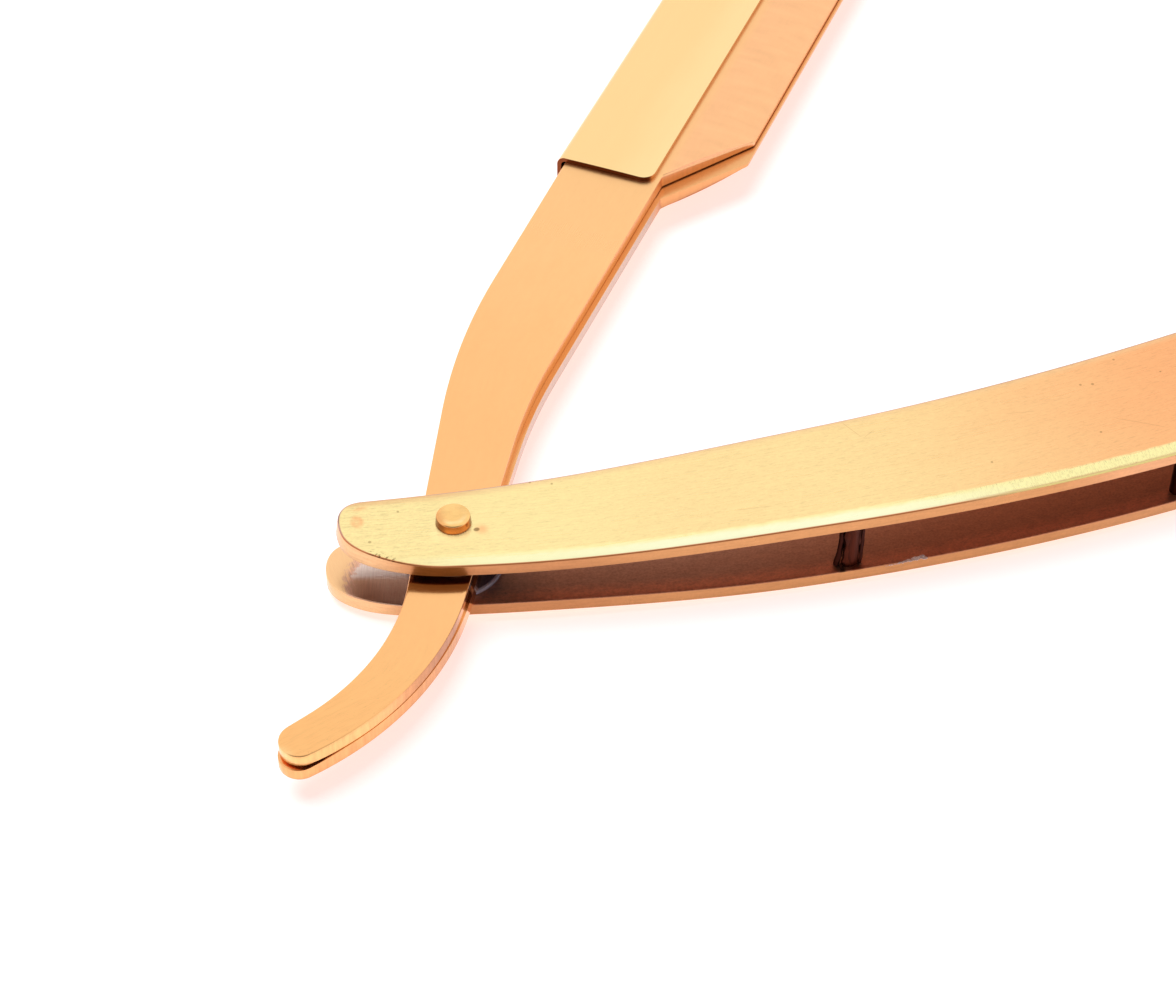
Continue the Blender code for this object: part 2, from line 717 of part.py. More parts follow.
def build():
    clear_scene()
    parts = new_collection("folding_razor")
    cutters = new_collection("cutters")
    cutters.hide_render = True
    plate_gold = metal("plate_gold", GOLD)
    arm_gold = metal("arm_gold", WARM_GOLD)
    sleeve_gold = metal("sleeve_gold", PALE_GOLD, roughness=0.28)
    rivet_gold = metal("rivet_gold", WARM_GOLD, roughness=0.22)
    pin_gold = metal("pin_gold", DARK_GOLD, roughness=0.4)
    nylon = metal("clear_nylon", CLEAR_NYLON, roughness=0.2, metallic=0.0)

    arm = bpy.data.objects.new("arm_pivot", None)
    arm.location.z = MID_Z
    arm.rotation_euler.z = ARM_OPEN_ANGLE
    parts.objects.link(arm)

    handle_plate("scale_upper", True, parts, cutters, plate_gold)
    handle_plate("scale_lower", False, parts, cutters, plate_gold)
    pivot_rivet(parts, rivet_gold)
    washer("washer_upper", 1, parts, nylon)
    washer("washer_lower", -1, parts, nylon)
    spacer_pin("spacer_pin_front", SPACER_FRONT_X, parts, pin_gold)
    spacer_pin("spacer_pin_middle", SPACER_MIDDLE_X, parts, pin_gold)
    spacer_pin("spacer_pin_end", HANDLE_REACH - SPACER_END_MARGIN, parts, pin_gold)
    arm_half("arm_half_upper", 1, parts, cutters, arm_gold, arm)
    arm_half("arm_half_lower", -1, parts, cutters, arm_gold, arm)
    heel_stud_x, nose_stud_x = stud_places()
    blade_stud("blade_stud_heel", heel_stud_x, parts, pin_gold, arm)
    blade_stud("blade_stud_nose", nose_stud_x, parts, pin_gold, arm)
    blade_sleeve(parts, cutters, sleeve_gold, arm)


build()
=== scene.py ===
"""Looks of the folding razor: finished shapes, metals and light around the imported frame.

Metres, in the frame of the CAD part. The pivot axis is the Z axis, the handle runs along +X and
its concave edge faces +Y. Pieces of the arm are built in the arm's own frame, with X along the
jaws and +Y towards the spine. Materials measure places in millimetres.
"""

import json
import math
import random

import bmesh
import bpy
from mathutils import Matrix, Vector
from mathutils import noise as mathnoise


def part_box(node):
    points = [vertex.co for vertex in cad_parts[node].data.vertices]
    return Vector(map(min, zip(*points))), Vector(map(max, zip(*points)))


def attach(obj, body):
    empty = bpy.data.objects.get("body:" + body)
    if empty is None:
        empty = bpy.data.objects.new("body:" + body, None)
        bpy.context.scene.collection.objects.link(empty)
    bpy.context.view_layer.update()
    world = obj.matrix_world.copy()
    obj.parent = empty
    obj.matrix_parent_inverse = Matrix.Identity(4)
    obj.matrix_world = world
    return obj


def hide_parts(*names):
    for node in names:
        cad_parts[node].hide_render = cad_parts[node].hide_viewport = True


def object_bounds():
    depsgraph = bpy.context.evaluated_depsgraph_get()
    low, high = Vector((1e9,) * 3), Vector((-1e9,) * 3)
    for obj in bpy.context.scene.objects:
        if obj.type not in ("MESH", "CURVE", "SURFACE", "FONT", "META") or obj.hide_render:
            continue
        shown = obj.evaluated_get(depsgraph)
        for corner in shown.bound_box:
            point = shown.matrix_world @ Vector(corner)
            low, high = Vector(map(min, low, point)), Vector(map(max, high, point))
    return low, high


MM = 0.001
SIDES = ("upper", "lower")

# Handle plates
PLATE_THICKNESS = 1.5 * MM
LOWER_PLATE_SHIFT = 1.55 * MM
CONCAVE_RADIUS = 280.0 * MM
CONCAVE_LOW_X = 51.8 * MM
CONCAVE_LOW_Y = -0.87 * MM
CONVEX_RADIUS = 228.0 * MM
CONVEX_LOW_X = 64.8 * MM
CONVEX_LOW_Y = -14.92 * MM
FRONT_TIP_Y = 2.1 * MM
FRONT_CONCAVE_ROUND = 3.0 * MM
FRONT_CONVEX_ROUND = 7.8 * MM
FAR_TIP_Y = 2.0 * MM
FAR_CONCAVE_ROUND = 6.0 * MM
FAR_CONVEX_ROUND = 9.0 * MM
FULL_ROUND_SHARE = 0.55
CORNER_ROUND_SHARE = 0.7
FLAT_ROUND_SHARE = 0.43
PLATE_EDGE_ROUND = 0.12 * MM
CHAMFER_WIDTH = 1.35 * MM
CHAMFER_DROP = 0.3 * MM
CHAMFER_CREASE = 0.12 * MM
PLATE_FACET = 1.3 * MM
ROUND_STEPS = 26
UPPER_BOW = (0.95 * MM, 2.0 * MM, 33.0 * MM)
LOWER_BOW = (-0.4 * MM, 5.0 * MM, 29.0 * MM)
FRONT_FLARE = (0.24 * MM, 5.0 * MM, 9.5 * MM)
INNER_FACE_RINGS = (0.4 * MM,)
OUTER_FACE_RINGS = (0.5 * MM, 1.0 * MM, CHAMFER_WIDTH, 1.5 * MM)
BOW_CUT = 1.5 * MM
FLAT_CUT = 3.0 * MM
CROSS_CUT = 2.5 * MM
WAVE_HEIGHT = 0.012 * MM
WAVE_LENGTH = 17.0 * MM

# Rivet, washers and spacer pins
RIVET_RADIUS = 1.1 * MM
RIVET_HEAD_HEIGHT = 0.8 * MM
RIVET_RISE = 0.25 * MM
RIVET_SPREAD = 0.08 * MM
RIVET_HEAD_ROUND = 0.18 * MM
RIVET_UNDERCUT = 0.1 * MM
RIVET_CROWN = 0.12 * MM
RIVET_TAPER = 0.08 * MM
RIVET_RING_RADIUS = 0.85 * MM
RIVET_RING_DEPTH = 0.012 * MM
RIVET_CROWN_STEPS = 14
HOLE_CLEARANCE = 0.05 * MM
WASHER_EDGE_ROUND = 0.12 * MM
WASHER_BEND_SHARES = (0.35, 0.7)
PIN_ROUGHNESS = 0.03 * MM
PIN_ROUGH_SCALE = 1.3
PIN_FACET = 0.12 * MM

# Residue beside the front spacer pin: each run has a place and a radius on top, the same below
# and its flatness, all measured from the pin
FLUX_RUNS = {
    "flux_run": ((-0.9 * MM, 0.2 * MM, 0.25 * MM), (-1.4 * MM, 0.0, 0.32 * MM), 1.0),
    "flux_run_right": ((0.8 * MM, -0.5 * MM, 0.17 * MM), (0.7 * MM, -0.5 * MM, 0.22 * MM), 1.0),
}
BRAZE_SKIN = ((0.0, -0.3 * MM, 0.85 * MM), (-0.08 * MM, -0.35 * MM, 0.92 * MM), 0.38)
FLUX_RUN_RINGS = 16
FLUX_RUN_SIDES = 14
FLUX_RUN_MARGIN = 0.05 * MM
FLUX_RUN_LUMPS = 0.35
CRUST_START_X = 36.9 * MM
CRUST_END_X = 41.0 * MM
CRUST_CRUMBS = 44
CRUST_SIZE = 0.24 * MM
CRUST_LEAST_SHARE = 0.35
CRUST_START_SHARE = 0.3
CRUST_BAND_SHARE = 1.6
CRUST_SEAT_SHARE = 0.6
CRUST_LUMPS = 0.6
CRUST_FLAT_SHARES = (1.0, 0.7, 1 / 3)
CRUST_SEED = 7

# Arm
ARM_PLATE = 1.37 * MM
ARM_EDGE_ROUND = 0.15 * MM
ARM_INNER_EDGE_ROUND = 0.03 * MM
CLOSED_GAP_SHARE = 0.35
ARM_FACET = 0.7 * MM
TAIL_REACH = 29.35 * MM
TAIL_TIP_INNER = (27.8 * MM, 5.2 * MM)
TAIL_TIP_OUTER_Y = 2.0 * MM
TAIL_TIP_ROUND = 1.9 * MM
TAIL_TIP_STEP = 0.3 * MM
TAIL_BEND_INNER = (15.8 * MM, 1.05 * MM, 22.9 * MM)
TAIL_BEND_OUTER = (18.05 * MM, 6.03 * MM, 30.4 * MM)
TAIL_RELIEF_LENGTH = 5.8 * MM
TAIL_RELIEF_DEPTH = 0.26 * MM
SPINE_BEND = (24.5 * MM, 10.56 * MM, 74.0 * MM)
EDGE_BEND_X = 19.2 * MM
EDGE_BEND_RADIUS = 65.0 * MM
JAW_START = 54.1 * MM
JAW_LENGTH = 53.0 * MM
SPINE_Y = 11.05 * MM
UPPER_JAW = (0.86 * MM, 55.6 * MM, 65.5 * MM, -5.75 * MM)
LOWER_JAW = (0.31 * MM, 53.75 * MM, 62.6 * MM, -6.1 * MM)
HEEL_ROUND = 0.6 * MM
NOSE_SPINE_ROUND = 8.0 * MM
NOSE_EDGE_ROUND = 3.0 * MM
JAW_ROLL_START = -0.5 * MM
JAW_ROLL_RADIUS = 16.0 * MM
JAW_RIPPLE = 0.006 * MM
JAW_RIPPLE_WIDTH = MM / 0.9
JAW_RIPPLE_LENGTH = MM / 0.12
BLADE_POCKET_BACK = 3.45 * MM
BLADE_POCKET_DEPTH = 0.04 * MM
STEP_WIDTH = 0.05 * MM
STEP_MARGIN = 0.02 * MM
ARM_FACE_RINGS = (0.4 * MM,)
ROLL_CUT = 0.45 * MM
ROLL_CUT_EDGE = -6.0 * MM
JAW_CUT = 1.2 * MM
TAIL_CUT = 0.8 * MM
TAIL_CUT_END = -20.0 * MM
STUD_RADIUS = 1.0 * MM
STUD_PITCH = 21.0 * MM

# Sleeve
SHEET = 0.45 * MM
SLEEVE_LENGTH = 48.0 * MM
SLEEVE_EDGE_Y = 1.55 * MM
SLEEVE_SPINE_GAP = 0.45 * MM
SLEEVE_BEND = 0.95 * MM
SLEEVE_CORNER_ROUND = 1.3 * MM
SLEEVE_EDGE_ROUND = 0.11 * MM
SLEEVE_CROWN = 0.035 * MM
SLEEVE_STATIONS = 64
SLEEVE_BEND_STEPS = 7
SLEEVE_FLAT_SHARES = (0.0, 0.02, 0.06, 0.12, 0.25, 0.5, 0.75, 1.0)
SLEEVE_EDGE_ANGLE = math.radians(50.0)

# Tolerances and facets of the modelling steps
WELD = 0.0001 * MM
SHARP_ANGLE = math.radians(38.0)
FACET_ANGLE = math.radians(5.0)
CAP_NORMAL = 0.999
NORMAL_WEIGHT = 80
TURN_STEPS = 96
HOLE_STEPS = 64
CUT_OVERRUN = 2.0 * MM
FILLET_LIMIT_SHARE = 0.999999

# Camera, light and floor
CAMERA_PLACE = (-0.05168, -0.17833, 0.19576)
CAMERA_TILT = math.radians(45.0)
CAMERA_HEADING = math.radians(-19.9)
PHOTO_WIDTH = 1176
FOCAL_PIXELS = 2935.0
SENSOR_WIDTH = 36.0
CAMERA_CLIP_START = 0.01
WHITE = (1.0, 1.0, 1.0, 1.0)
SKY_LIGHT = 0.35
SKY_BRIGHT = 1.03
SKY_DIM = 0.36
DIM_DIRECTION = (-0.26, -0.72, 0.64)
DIM_CORE = math.cos(math.radians(28.0))
DIM_RIM = math.cos(math.radians(62.0))
FLOOR_SIZE = 6.0
FLOOR_COLOUR = (0.94, 0.94, 1.0, 1.0)
FLOOR_GLOW_COLOUR = (1.0, 0.74, 0.7, 1.0)
FLOOR_GLOW = 1.72
FLOOR_GLOW_SHARE = 0.5
LAMP_PLACE = (-0.12, 0.3, 1.0)
LAMP_SPREAD = math.radians(48.0)
LAMP_STRENGTH = 3.2


def srgb(red, green, blue):
    """A colour as the photograph shows it, 0 to 255, in Blender's linear values."""
    found = []
    for value in (red, green, blue):
        share = value / 255
        found.append(share / 12.92 if share <= 0.04045 else ((share + 0.055) / 1.055) ** 2.4)
    return (*found, 1.0)


YELLOW_GOLD = srgb(255, 231, 164)
PLAIN_GOLD = srgb(255, 223, 158)
PEACH_GOLD = srgb(253, 180, 123)
CONCAVE_GOLD = srgb(244, 204, 152)
EDGE_DIRT = srgb(226, 172, 118)
CHAMFER_GOLD = srgb(255, 254, 212)
CHAMFER_CREAM = srgb(255, 250, 198)
CHAMFER_YELLOW = srgb(255, 242, 174)
EDGE_GOLD = srgb(194, 145, 96)
BRIGHT_EDGE_GOLD = srgb(214, 166, 122)
FRONT_SIDE_GOLD = srgb(232, 196, 146)
INNER_SHADE_BROWN = srgb(178, 138, 115)
INNER_RED = srgb(184, 130, 98)
INNER_EDGE_RED = srgb(226, 148, 112)
RIM_SHADE_BROWN = srgb(222, 138, 90)
RIM_SHADE_GREY = srgb(206, 176, 172)
BARE_REFLECTION_GREY = srgb(255, 228, 214)
BARE_BROWN = srgb(232, 176, 142)
BARE_LIGHT_BROWN = srgb(255, 208, 178)
FRONT_FUZZ = srgb(255, 196, 164)
FRONT_GOLD = srgb(255, 204, 150)
DARK_LINE = srgb(112, 74, 42)
PIT_BROWN = srgb(138, 104, 60)
ARM_GOLD = srgb(255, 193, 129)
ARM_PALE_GOLD = srgb(255, 200, 138)
TAIL_GOLD = srgb(253, 191, 124)
JAW_GOLD = srgb(255, 194, 140)
ARM_SIDE_GOLD = srgb(238, 178, 118)
TAIL_SIDE_HIGHLIGHT = srgb(246, 196, 130)
SIDE_SHADE_BROWN = srgb(172, 118, 80)
ARM_SIDE_FLOOR_REFLECTION = srgb(198, 178, 162)
ARM_PIVOT_GLOW = srgb(255, 204, 160)
HEEL_PAINTED_LIGHT = srgb(244, 188, 142)
ARM_INSIDE = srgb(244, 182, 122)
SLEEVE_GOLD = srgb(255, 215, 151)
PALE_GOLD_HIGHLIGHT = srgb(255, 222, 160)
SLEEVE_CUT_SHADE = srgb(120, 66, 38)
SLEEVE_LONG_EDGE_SHADE = srgb(206, 140, 92)
RIVET_GOLD = srgb(252, 203, 130)
RIVET_SIDE = srgb(224, 142, 84)
PIN_SHADE_BROWN = srgb(72, 32, 20)
FLUX_AND_SHADE_BROWN = srgb(56, 26, 19)
STAIN_RED = srgb(150, 78, 56)
STAIN_BLACK = srgb(72, 44, 38)
NYLON_RIM_HIGHLIGHT = srgb(226, 214, 236)
NYLON_SHADE = srgb(104, 84, 98)
CRUST_WHITE = srgb(236, 212, 204)

# Places and radii on the plates in mm
BRUSH_CENTRE = (58.0, 246.0)
CHAMFER_RING = CONVEX_RADIUS / MM
CONCAVE_RING = CONCAVE_RADIUS / MM
CHAMFER_INNER_RIM = (CHAMFER_RING - 1.45, CHAMFER_RING - 1.15)
CHAMFER_UPPER_PART = (CHAMFER_RING - 1.3, CHAMFER_RING - 0.7)
CHAMFER_LOW_PART = (CHAMFER_RING - 0.4, CHAMFER_RING - 0.15)
INNER_EDGE = (CHAMFER_RING - 1.6, CHAMFER_RING + 0.1)
CONCAVE_RIM = (CONCAVE_RING, CONCAVE_RING + 1.0)
CONCAVE_DIRT = (CONCAVE_RING - 1.2, CONCAVE_RING)
UPPER_PITS = [
    (60.69, -3.7, 0.17),
    (61.81, -4.0, 0.2),
    (59.59, -10.11, 0.16),
    (68.62, -4.6, 0.13),
    (65.23, -1.6, 0.16),
    (9.9, 1.5, 0.15),
    (8.1, 2.4, 0.15),
    (48.4, -10.3, 0.15),
    (-4.3, 3.0, 0.16),
    (-7.8, 0.2, 0.2),
]
UPPER_SCRATCHES = [
    ((37.5, -0.6), (38.6, -3.4), 0.07),
    ((38.6, -3.4), (40.2, -2.6), 0.05),
    ((61.3, -8.6), (66.3, -12.1), 0.09),
    ((52.0, -4.8), (55.5, -5.6), 0.06),
    ((24.0, -7.9), (27.6, -8.6), 0.06),
]
UPPER_DENT = (1.68, -1.55, 0.36)
DENT_HALO = (2.13, -1.67, 0.9)
UPPER_SCUFF = (-8.15, 3.0, 0.8)
UPPER_SMEAR = (-7.4, 4.5, 1.1)
RIVET_REFLECTION_DULLING = (-0.35, -0.9, 2.3)
FRONT_CENTRE = (-4.4, -0.9)
FRONT_FUZZ_REACH = (5.1, 5.7)
FRONT_GOLD_REACH = (5.7, 6.5)
RIVET_LIT_RING = ((0.7, 1.0), (1.1, 1.35))
STAIN_RUNS = [
    ((0.1, 1.0), (0.1, -5.5), 1.15, STAIN_RED),
    ((-1.0, 1.2), (-1.5, -5.5), 0.6, STAIN_BLACK),
]
RIVET_FOOT_Z = 7.7
UPPER_SIDE_FOOT_Z = 6.2
LOWER_SIDE_FOOT_Z = 0.45

# Stretches along the plates in mm from the pivot, over which one look gives way to the next
YELLOW_END = (6.0, 24.0)
PEACH_START = (30.0, 76.0)
COARSE_END = (-7.0, 6.0)
CHAMFER_START = (-8.0, 4.0)
CHAMFER_WHITE_START = (4.0, 20.0)
CHAMFER_ROUGH_START = (34.0, 54.0)
RIM_PALE_START = (42.0, 52.0)
SIDE_BRIGHT_START = (52.0, 62.0)
SIDE_SHADE_END = (8.0, 18.0)
SIDE_FRONT_END = (-9.0, -4.0)
INNER_RED_START = (18.0, 62.0)
INNER_SHADE_END = (3.0, 10.0)
WORN_FRONT_END = (-6.0, -3.0)
EDGE_DIRT_END = (-2.0, 10.0)
SMOOTH_FRONT_END = (-4.0, -2.0)
BARE_FRONT_END = (-4.0, -1.0)
BARE_LIGHT_START = (-8.8, -6.6)
CHIPPED_CORNER = ((-8.4, -7.9), (-6.6, -5.8))

# The same along the arm in mm from the pivot, and a pale spot at its tip, partly wear and partly
# painted highlight
HANDLED_END = (-26.0, -8.0)
ARM_PALE_START = (22.0, 62.0)
JAW_LOOK_START = (54.0, 58.0)
SMOOTH_ARM_END = (38.0, 50.0)
UNDER_PLATE = ((-12.0, -6.0), (8.0, 12.0))
SHANK = ((4.0, 14.0), (50.0, 54.0))
PIVOT_SHADE = ((-22.0, -12.0), (2.0, 8.0))
PIVOT_GLOW = ((-10.0, -7.0), (0.0, 4.0))
TAIL_SIDE_END = (-25.0, -17.0)
HEEL_START = (52.0, 54.0)
ARM_TIP_WEAR_AND_HIGHLIGHT = (-29.0, 3.4, 1.5)


# Shapes in the plane


def edge_height(x, radius, low_x, low_y):
    """A long edge of the handle: the lower side of a circle."""
    return low_y + radius - math.sqrt(radius**2 - (x - low_x) ** 2)


def edge_slope(x, radius, low_x):
    return (x - low_x) / math.sqrt(radius**2 - (x - low_x) ** 2)


CONCAVE = (CONCAVE_RADIUS, CONCAVE_LOW_X, CONCAVE_LOW_Y)
CONVEX = (CONVEX_RADIUS, CONVEX_LOW_X, CONVEX_LOW_Y)


def cubic(start, start_handle, end_handle, end):
    """Points along a cubic curve, without its last one."""
    found = []
    for i in range(ROUND_STEPS):
        t = i / ROUND_STEPS
        s = 1 - t
        weights = (s**3, 3 * s * s * t, 3 * s * t * t, t**3)
        ends = (start, start_handle, end_handle, end)
        found.append(tuple(sum(w * p[axis] for w, p in zip(weights, ends)) for axis in (0, 1)))
    return found


def end_round(edge, x, tip, share):
    """The curve from a long edge to the tip of an end: its start, its two handles and the tip."""
    start = (x, edge_height(x, *edge))
    run = (tip[0] - x) * share
    rise = (tip[1] - start[1]) * share
    near = (x + run, start[1] + run * edge_slope(x, *edge[:2]))
    return start, near, (tip[0], tip[1] - rise), tip


def along_edge(edge, start, end):
    count = max(2, round(abs(end - start) / PLATE_FACET))
    places = [start + (end - start) * i / count for i in range(count)]
    return [(x, edge_height(x, *edge)) for x in places]


def handle_outline(front, reach, corner_share):
    """The plate's outline, round from the front end's top corner by way of the convex edge."""
    front_tip = (front, FRONT_TIP_Y)
    far_tip = (reach, FAR_TIP_Y)
    front_top = front + FRONT_CONCAVE_ROUND
    front_bottom = front + FRONT_CONVEX_ROUND
    far_top = reach - FAR_CONCAVE_ROUND
    far_bottom = reach - FAR_CONVEX_ROUND
    outline = cubic(*end_round(CONCAVE, front_top, front_tip, corner_share))
    outline += cubic(*end_round(CONVEX, front_bottom, front_tip, FLAT_ROUND_SHARE)[::-1])
    outline += along_edge(CONVEX, front_bottom, far_bottom)
    outline += cubic(*end_round(CONVEX, far_bottom, far_tip, FULL_ROUND_SHARE))
    outline += cubic(*end_round(CONCAVE, far_top, far_tip, FULL_ROUND_SHARE)[::-1])
    return outline + along_edge(CONCAVE, far_top, front_top)


def rounded_polygon(corners):
    """The outline through corners (x, y, radius), each rounded as far as its sides allow."""
    places = [Vector(corner[:2]) for corner in corners]
    count = len(corners)
    ways = []
    for i, corner in enumerate(corners):
        before = (places[i - 1] - places[i]).normalized()
        after = (places[(i + 1) % count] - places[i]).normalized()
        turn = math.pi - before.angle(after)
        ways.append((before, after, turn, corner[2] * math.tan(turn / 2)))
    outline = []
    for i, (before, after, turn, reach) in enumerate(ways):
        limit = 1.0
        for other in (i - 1, (i + 1) % count):
            room = (places[other] - places[i]).length
            limit = min(limit, room / (reach + ways[other][3]))
        reach *= limit * FILLET_LIMIT_SHARE
        radius = reach / math.tan(turn / 2)
        centre = places[i] + (before + after).normalized() * math.hypot(radius, reach)
        first = places[i] + before * reach - centre
        steps = max(3, math.ceil(turn / min(FACET_ANGLE, ARM_FACET / radius)))
        side = 1 if before.cross(after) < 0 else -1
        for step in range(steps + 1):
            outline.append(tuple(centre + Matrix.Rotation(side * turn * step / steps, 2) @ first))
    return outline


def arm_outline(upper):
    """One half's outline in the arm's frame."""
    nose = JAW_START + JAW_LENGTH
    step = TAIL_TIP_STEP if upper else 0.0
    shank_edge, heel_start, heel_end, jaw_edge = UPPER_JAW if upper else LOWER_JAW
    return rounded_polygon(
        [
            (step - TAIL_TIP_INNER[0], TAIL_TIP_INNER[1], TAIL_TIP_ROUND),
            (-TAIL_BEND_INNER[0], -TAIL_BEND_INNER[1], TAIL_BEND_INNER[2]),
            SPINE_BEND,
            (JAW_START, SPINE_Y, SPINE_BEND[2]),
            (nose, SPINE_Y, NOSE_SPINE_ROUND),
            (nose, jaw_edge, NOSE_EDGE_ROUND),
            (heel_end, jaw_edge, HEEL_ROUND),
            (heel_start, shank_edge, HEEL_ROUND),
            (EDGE_BEND_X, shank_edge, EDGE_BEND_RADIUS),
            (-TAIL_BEND_OUTER[0], -TAIL_BEND_OUTER[1], TAIL_BEND_OUTER[2]),
            (step - TAIL_REACH, TAIL_TIP_OUTER_Y, TAIL_TIP_ROUND),
        ]
    )


def counter_clockwise(outline):
    area = 0.0
    for (x, y), (next_x, next_y) in zip(outline, outline[1:] + outline[:1]):
        area += x * next_y - next_x * y
    return outline if area > 0 else outline[::-1]


def inset_outline(outline, inset):
    """A counter-clockwise outline moved inwards by an even distance."""
    count = len(outline)
    found = []
    for i in range(count):
        here = Vector(outline[i])
        before = (here - Vector(outline[i - 1])).normalized()
        after = (Vector(outline[(i + 1) % count]) - here).normalized()
        middle = (before + after).normalized()
        inward = Vector((-middle.y, middle.x))
        found.append(here + inward * inset / max(middle.dot(before), 0.5))
    return found


def smooth_step(value, low, high):
    t = min(1.0, max(0.0, (value - low) / (high - low)))
    return t * t * (3 - 2 * t)


# Solids


def rim(radius, steps, insets=()):
    """Rings of a rounded rim from the side inwards: each an inset and a depth below the face."""
    rings = []
    for i in range(steps + 1):
        angle = math.pi / 2 * i / steps
        rings.append((radius * (1 - math.cos(angle)), radius * (1 - math.sin(angle))))
    return rings + [(inset, 0.0) for inset in insets]


def skin(shape, rings, closed=True):
    """Faces from each ring of vertices to the next one."""
    for low, high in zip(rings, rings[1:]):
        for i in range(0 if closed else 1, len(low)):
            shape.faces.new((low[i - 1], low[i], high[i], high[i - 1]))


def slab(outline, thickness, low_rim, high_rim):
    """A closed body on an outline from Z = 0 up, with its rings' insets in mm as an attribute."""
    outline = counter_clockwise(outline)
    shape = bmesh.new()
    inset_layer = shape.verts.layers.float.new("inset")
    levels = [(inset, depth) for inset, depth in reversed(low_rim)]
    levels += [(inset, thickness - depth) for inset, depth in high_rim]
    rings = []
    for inset, z in levels:
        ring = []
        for place in inset_outline(outline, inset):
            vertex = shape.verts.new((place[0], place[1], z))
            vertex[inset_layer] = inset / MM
            ring.append(vertex)
        rings.append(ring)
    skin(shape, rings)
    shape.faces.new(reversed(rings[0]))
    shape.faces.new(rings[-1])
    shape.normal_update()
    return shape


def cross_cut(shape, axis, places):
    """Cuts the flat caps across at each place, so that they can bend there."""
    way = Vector([float(axis == i) for i in range(3)])
    for place in places:
        caps = [face for face in shape.faces if abs(face.normal.z) > CAP_NORMAL]
        edges = {edge for face in caps for edge in face.edges}
        verts = {vertex for face in caps for vertex in face.verts}
        geom = caps + list(edges) + list(verts)
        bmesh.ops.bisect_plane(shape, geom=geom, dist=WELD, plane_co=way * place, plane_no=way)


def spread(start, end, step):
    count = max(1, round((end - start) / step))
    return [start + (end - start) * i / count for i in range(count + 1)]


def reshape(shape, thickness, low, high):
    """Moves the body's lower face to low(x, y) and its upper face to high(x, y)."""
    for vertex in shape.verts:
        x, y, z = vertex.co
        bottom = low(x, y)
        vertex.co.z = bottom + (high(x, y) - bottom) * z / thickness


def new_object(name, data):
    obj = bpy.data.objects.new(name, data)
    bpy.context.scene.collection.objects.link(obj)
    return obj


def mesh_object(name, shape, closed=True):
    """An object from a shape, with the faces of a closed one turned outwards."""
    mesh = bpy.data.meshes.new(name)
    if closed:
        bmesh.ops.recalc_face_normals(shape, faces=shape.faces)
    shape.to_mesh(mesh)
    shape.free()
    return new_object(name, mesh)


def settle(obj):
    """Turns the object's modifiers into its mesh."""
    bpy.context.view_layer.update()
    graph = bpy.context.evaluated_depsgraph_get()
    obj.data = bpy.data.meshes.new_from_object(obj.evaluated_get(graph))
    obj.modifiers.clear()


def drill(obj, x, y, radius):
    """Cuts a round hole right through."""
    shape = bmesh.new()
    depth = 2 * (PLATE_THICKNESS + ARM_PLATE) + 2 * CUT_OVERRUN
    place = Matrix.Translation((x, y, 0.0))
    size = {"radius1": radius, "radius2": radius, "depth": depth}
    bmesh.ops.create_cone(shape, cap_ends=True, segments=HOLE_STEPS, matrix=place, **size)
    bit = mesh_object("drill_bit", shape)
    cut = obj.modifiers.new("hole", "BOOLEAN")
    cut.operation = "DIFFERENCE"
    cut.object = bit
    settle(obj)
    bpy.data.objects.remove(bit, do_unlink=True)


def soften(obj):
    """Smooth shading that keeps flat faces flat and true edges crisp."""
    obj.data.shade_smooth()
    obj.data.set_sharp_from_angle(angle=SHARP_ANGLE)
    weighted = obj.modifiers.new("normals", "WEIGHTED_NORMAL")
    weighted.keep_sharp = True
    weighted.weight = NORMAL_WEIGHT


def turned(name, profile):
    """A solid of revolution about the Z axis from (radius, z) points that run down its side."""
    mesh = bpy.data.meshes.new(name)
    loop = [(i, i + 1) for i in range(len(profile) - 1)]
    if profile[0][0] > 0:
        loop.append((len(profile) - 1, 0))
    mesh.from_pydata([(radius, 0.0, z) for radius, z in profile], loop, [])
    obj = new_object(name, mesh)
    screw = obj.modifiers.new("turn", "SCREW")
    screw.steps = TURN_STEPS
    screw.render_steps = TURN_STEPS
    screw.use_merge_vertices = True
    screw.merge_threshold = WELD
    settle(obj)
    shape = bmesh.new()
    shape.from_mesh(obj.data)
    bmesh.ops.remove_doubles(shape, verts=shape.verts, dist=WELD)
    bmesh.ops.recalc_face_normals(shape, faces=shape.faces)
    shape.to_mesh(obj.data)
    shape.free()
    return obj


def give(obj, material, body, slot, *nodes):
    """Dresses a finished piece, seats it on its body and hides the imported parts it stands for.
    """
    soften(obj)
    obj.data.materials.clear()
    obj.data.materials.append(material)
    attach(obj, body)
    if nodes:
        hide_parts(*nodes)


# Materials


class Value:
    """What a shader node gives, for sums with other values and with plain numbers."""

    def __init__(self, tree, socket):
        self.tree = tree
        self.socket = socket

    def __add__(self, other):
        return self.tree.math("ADD", self, other)

    def __sub__(self, other):
        return self.tree.math("SUBTRACT", self, other)

    def __rsub__(self, other):
        return self.tree.math("SUBTRACT", other, self)

    def __mul__(self, other):
        return self.tree.math("MULTIPLY", self, other)

    def __abs__(self):
        return self.tree.math("ABSOLUTE", self)

    __radd__ = __add__
    __rmul__ = __mul__

    def step(self, low, high, to_low, to_high):
        """Runs smoothly from one result to another while this value goes from low to high."""
        given = dict(enumerate((self, low, high, to_low, to_high)))
        return self.tree.node("ShaderNodeMapRange", given, interpolation_type="SMOOTHSTEP")

    def rises(self, low, high, top=1.0):
        return self.step(low, high, 0.0, top)

    def falls(self, low, high, top=1.0):
        return self.step(low, high, top, 0.0)

    def between(self, start, end):
        """Rises to 1 over the first stretch and falls back to 0 over the second one."""
        return self.rises(*start) * self.falls(*end)


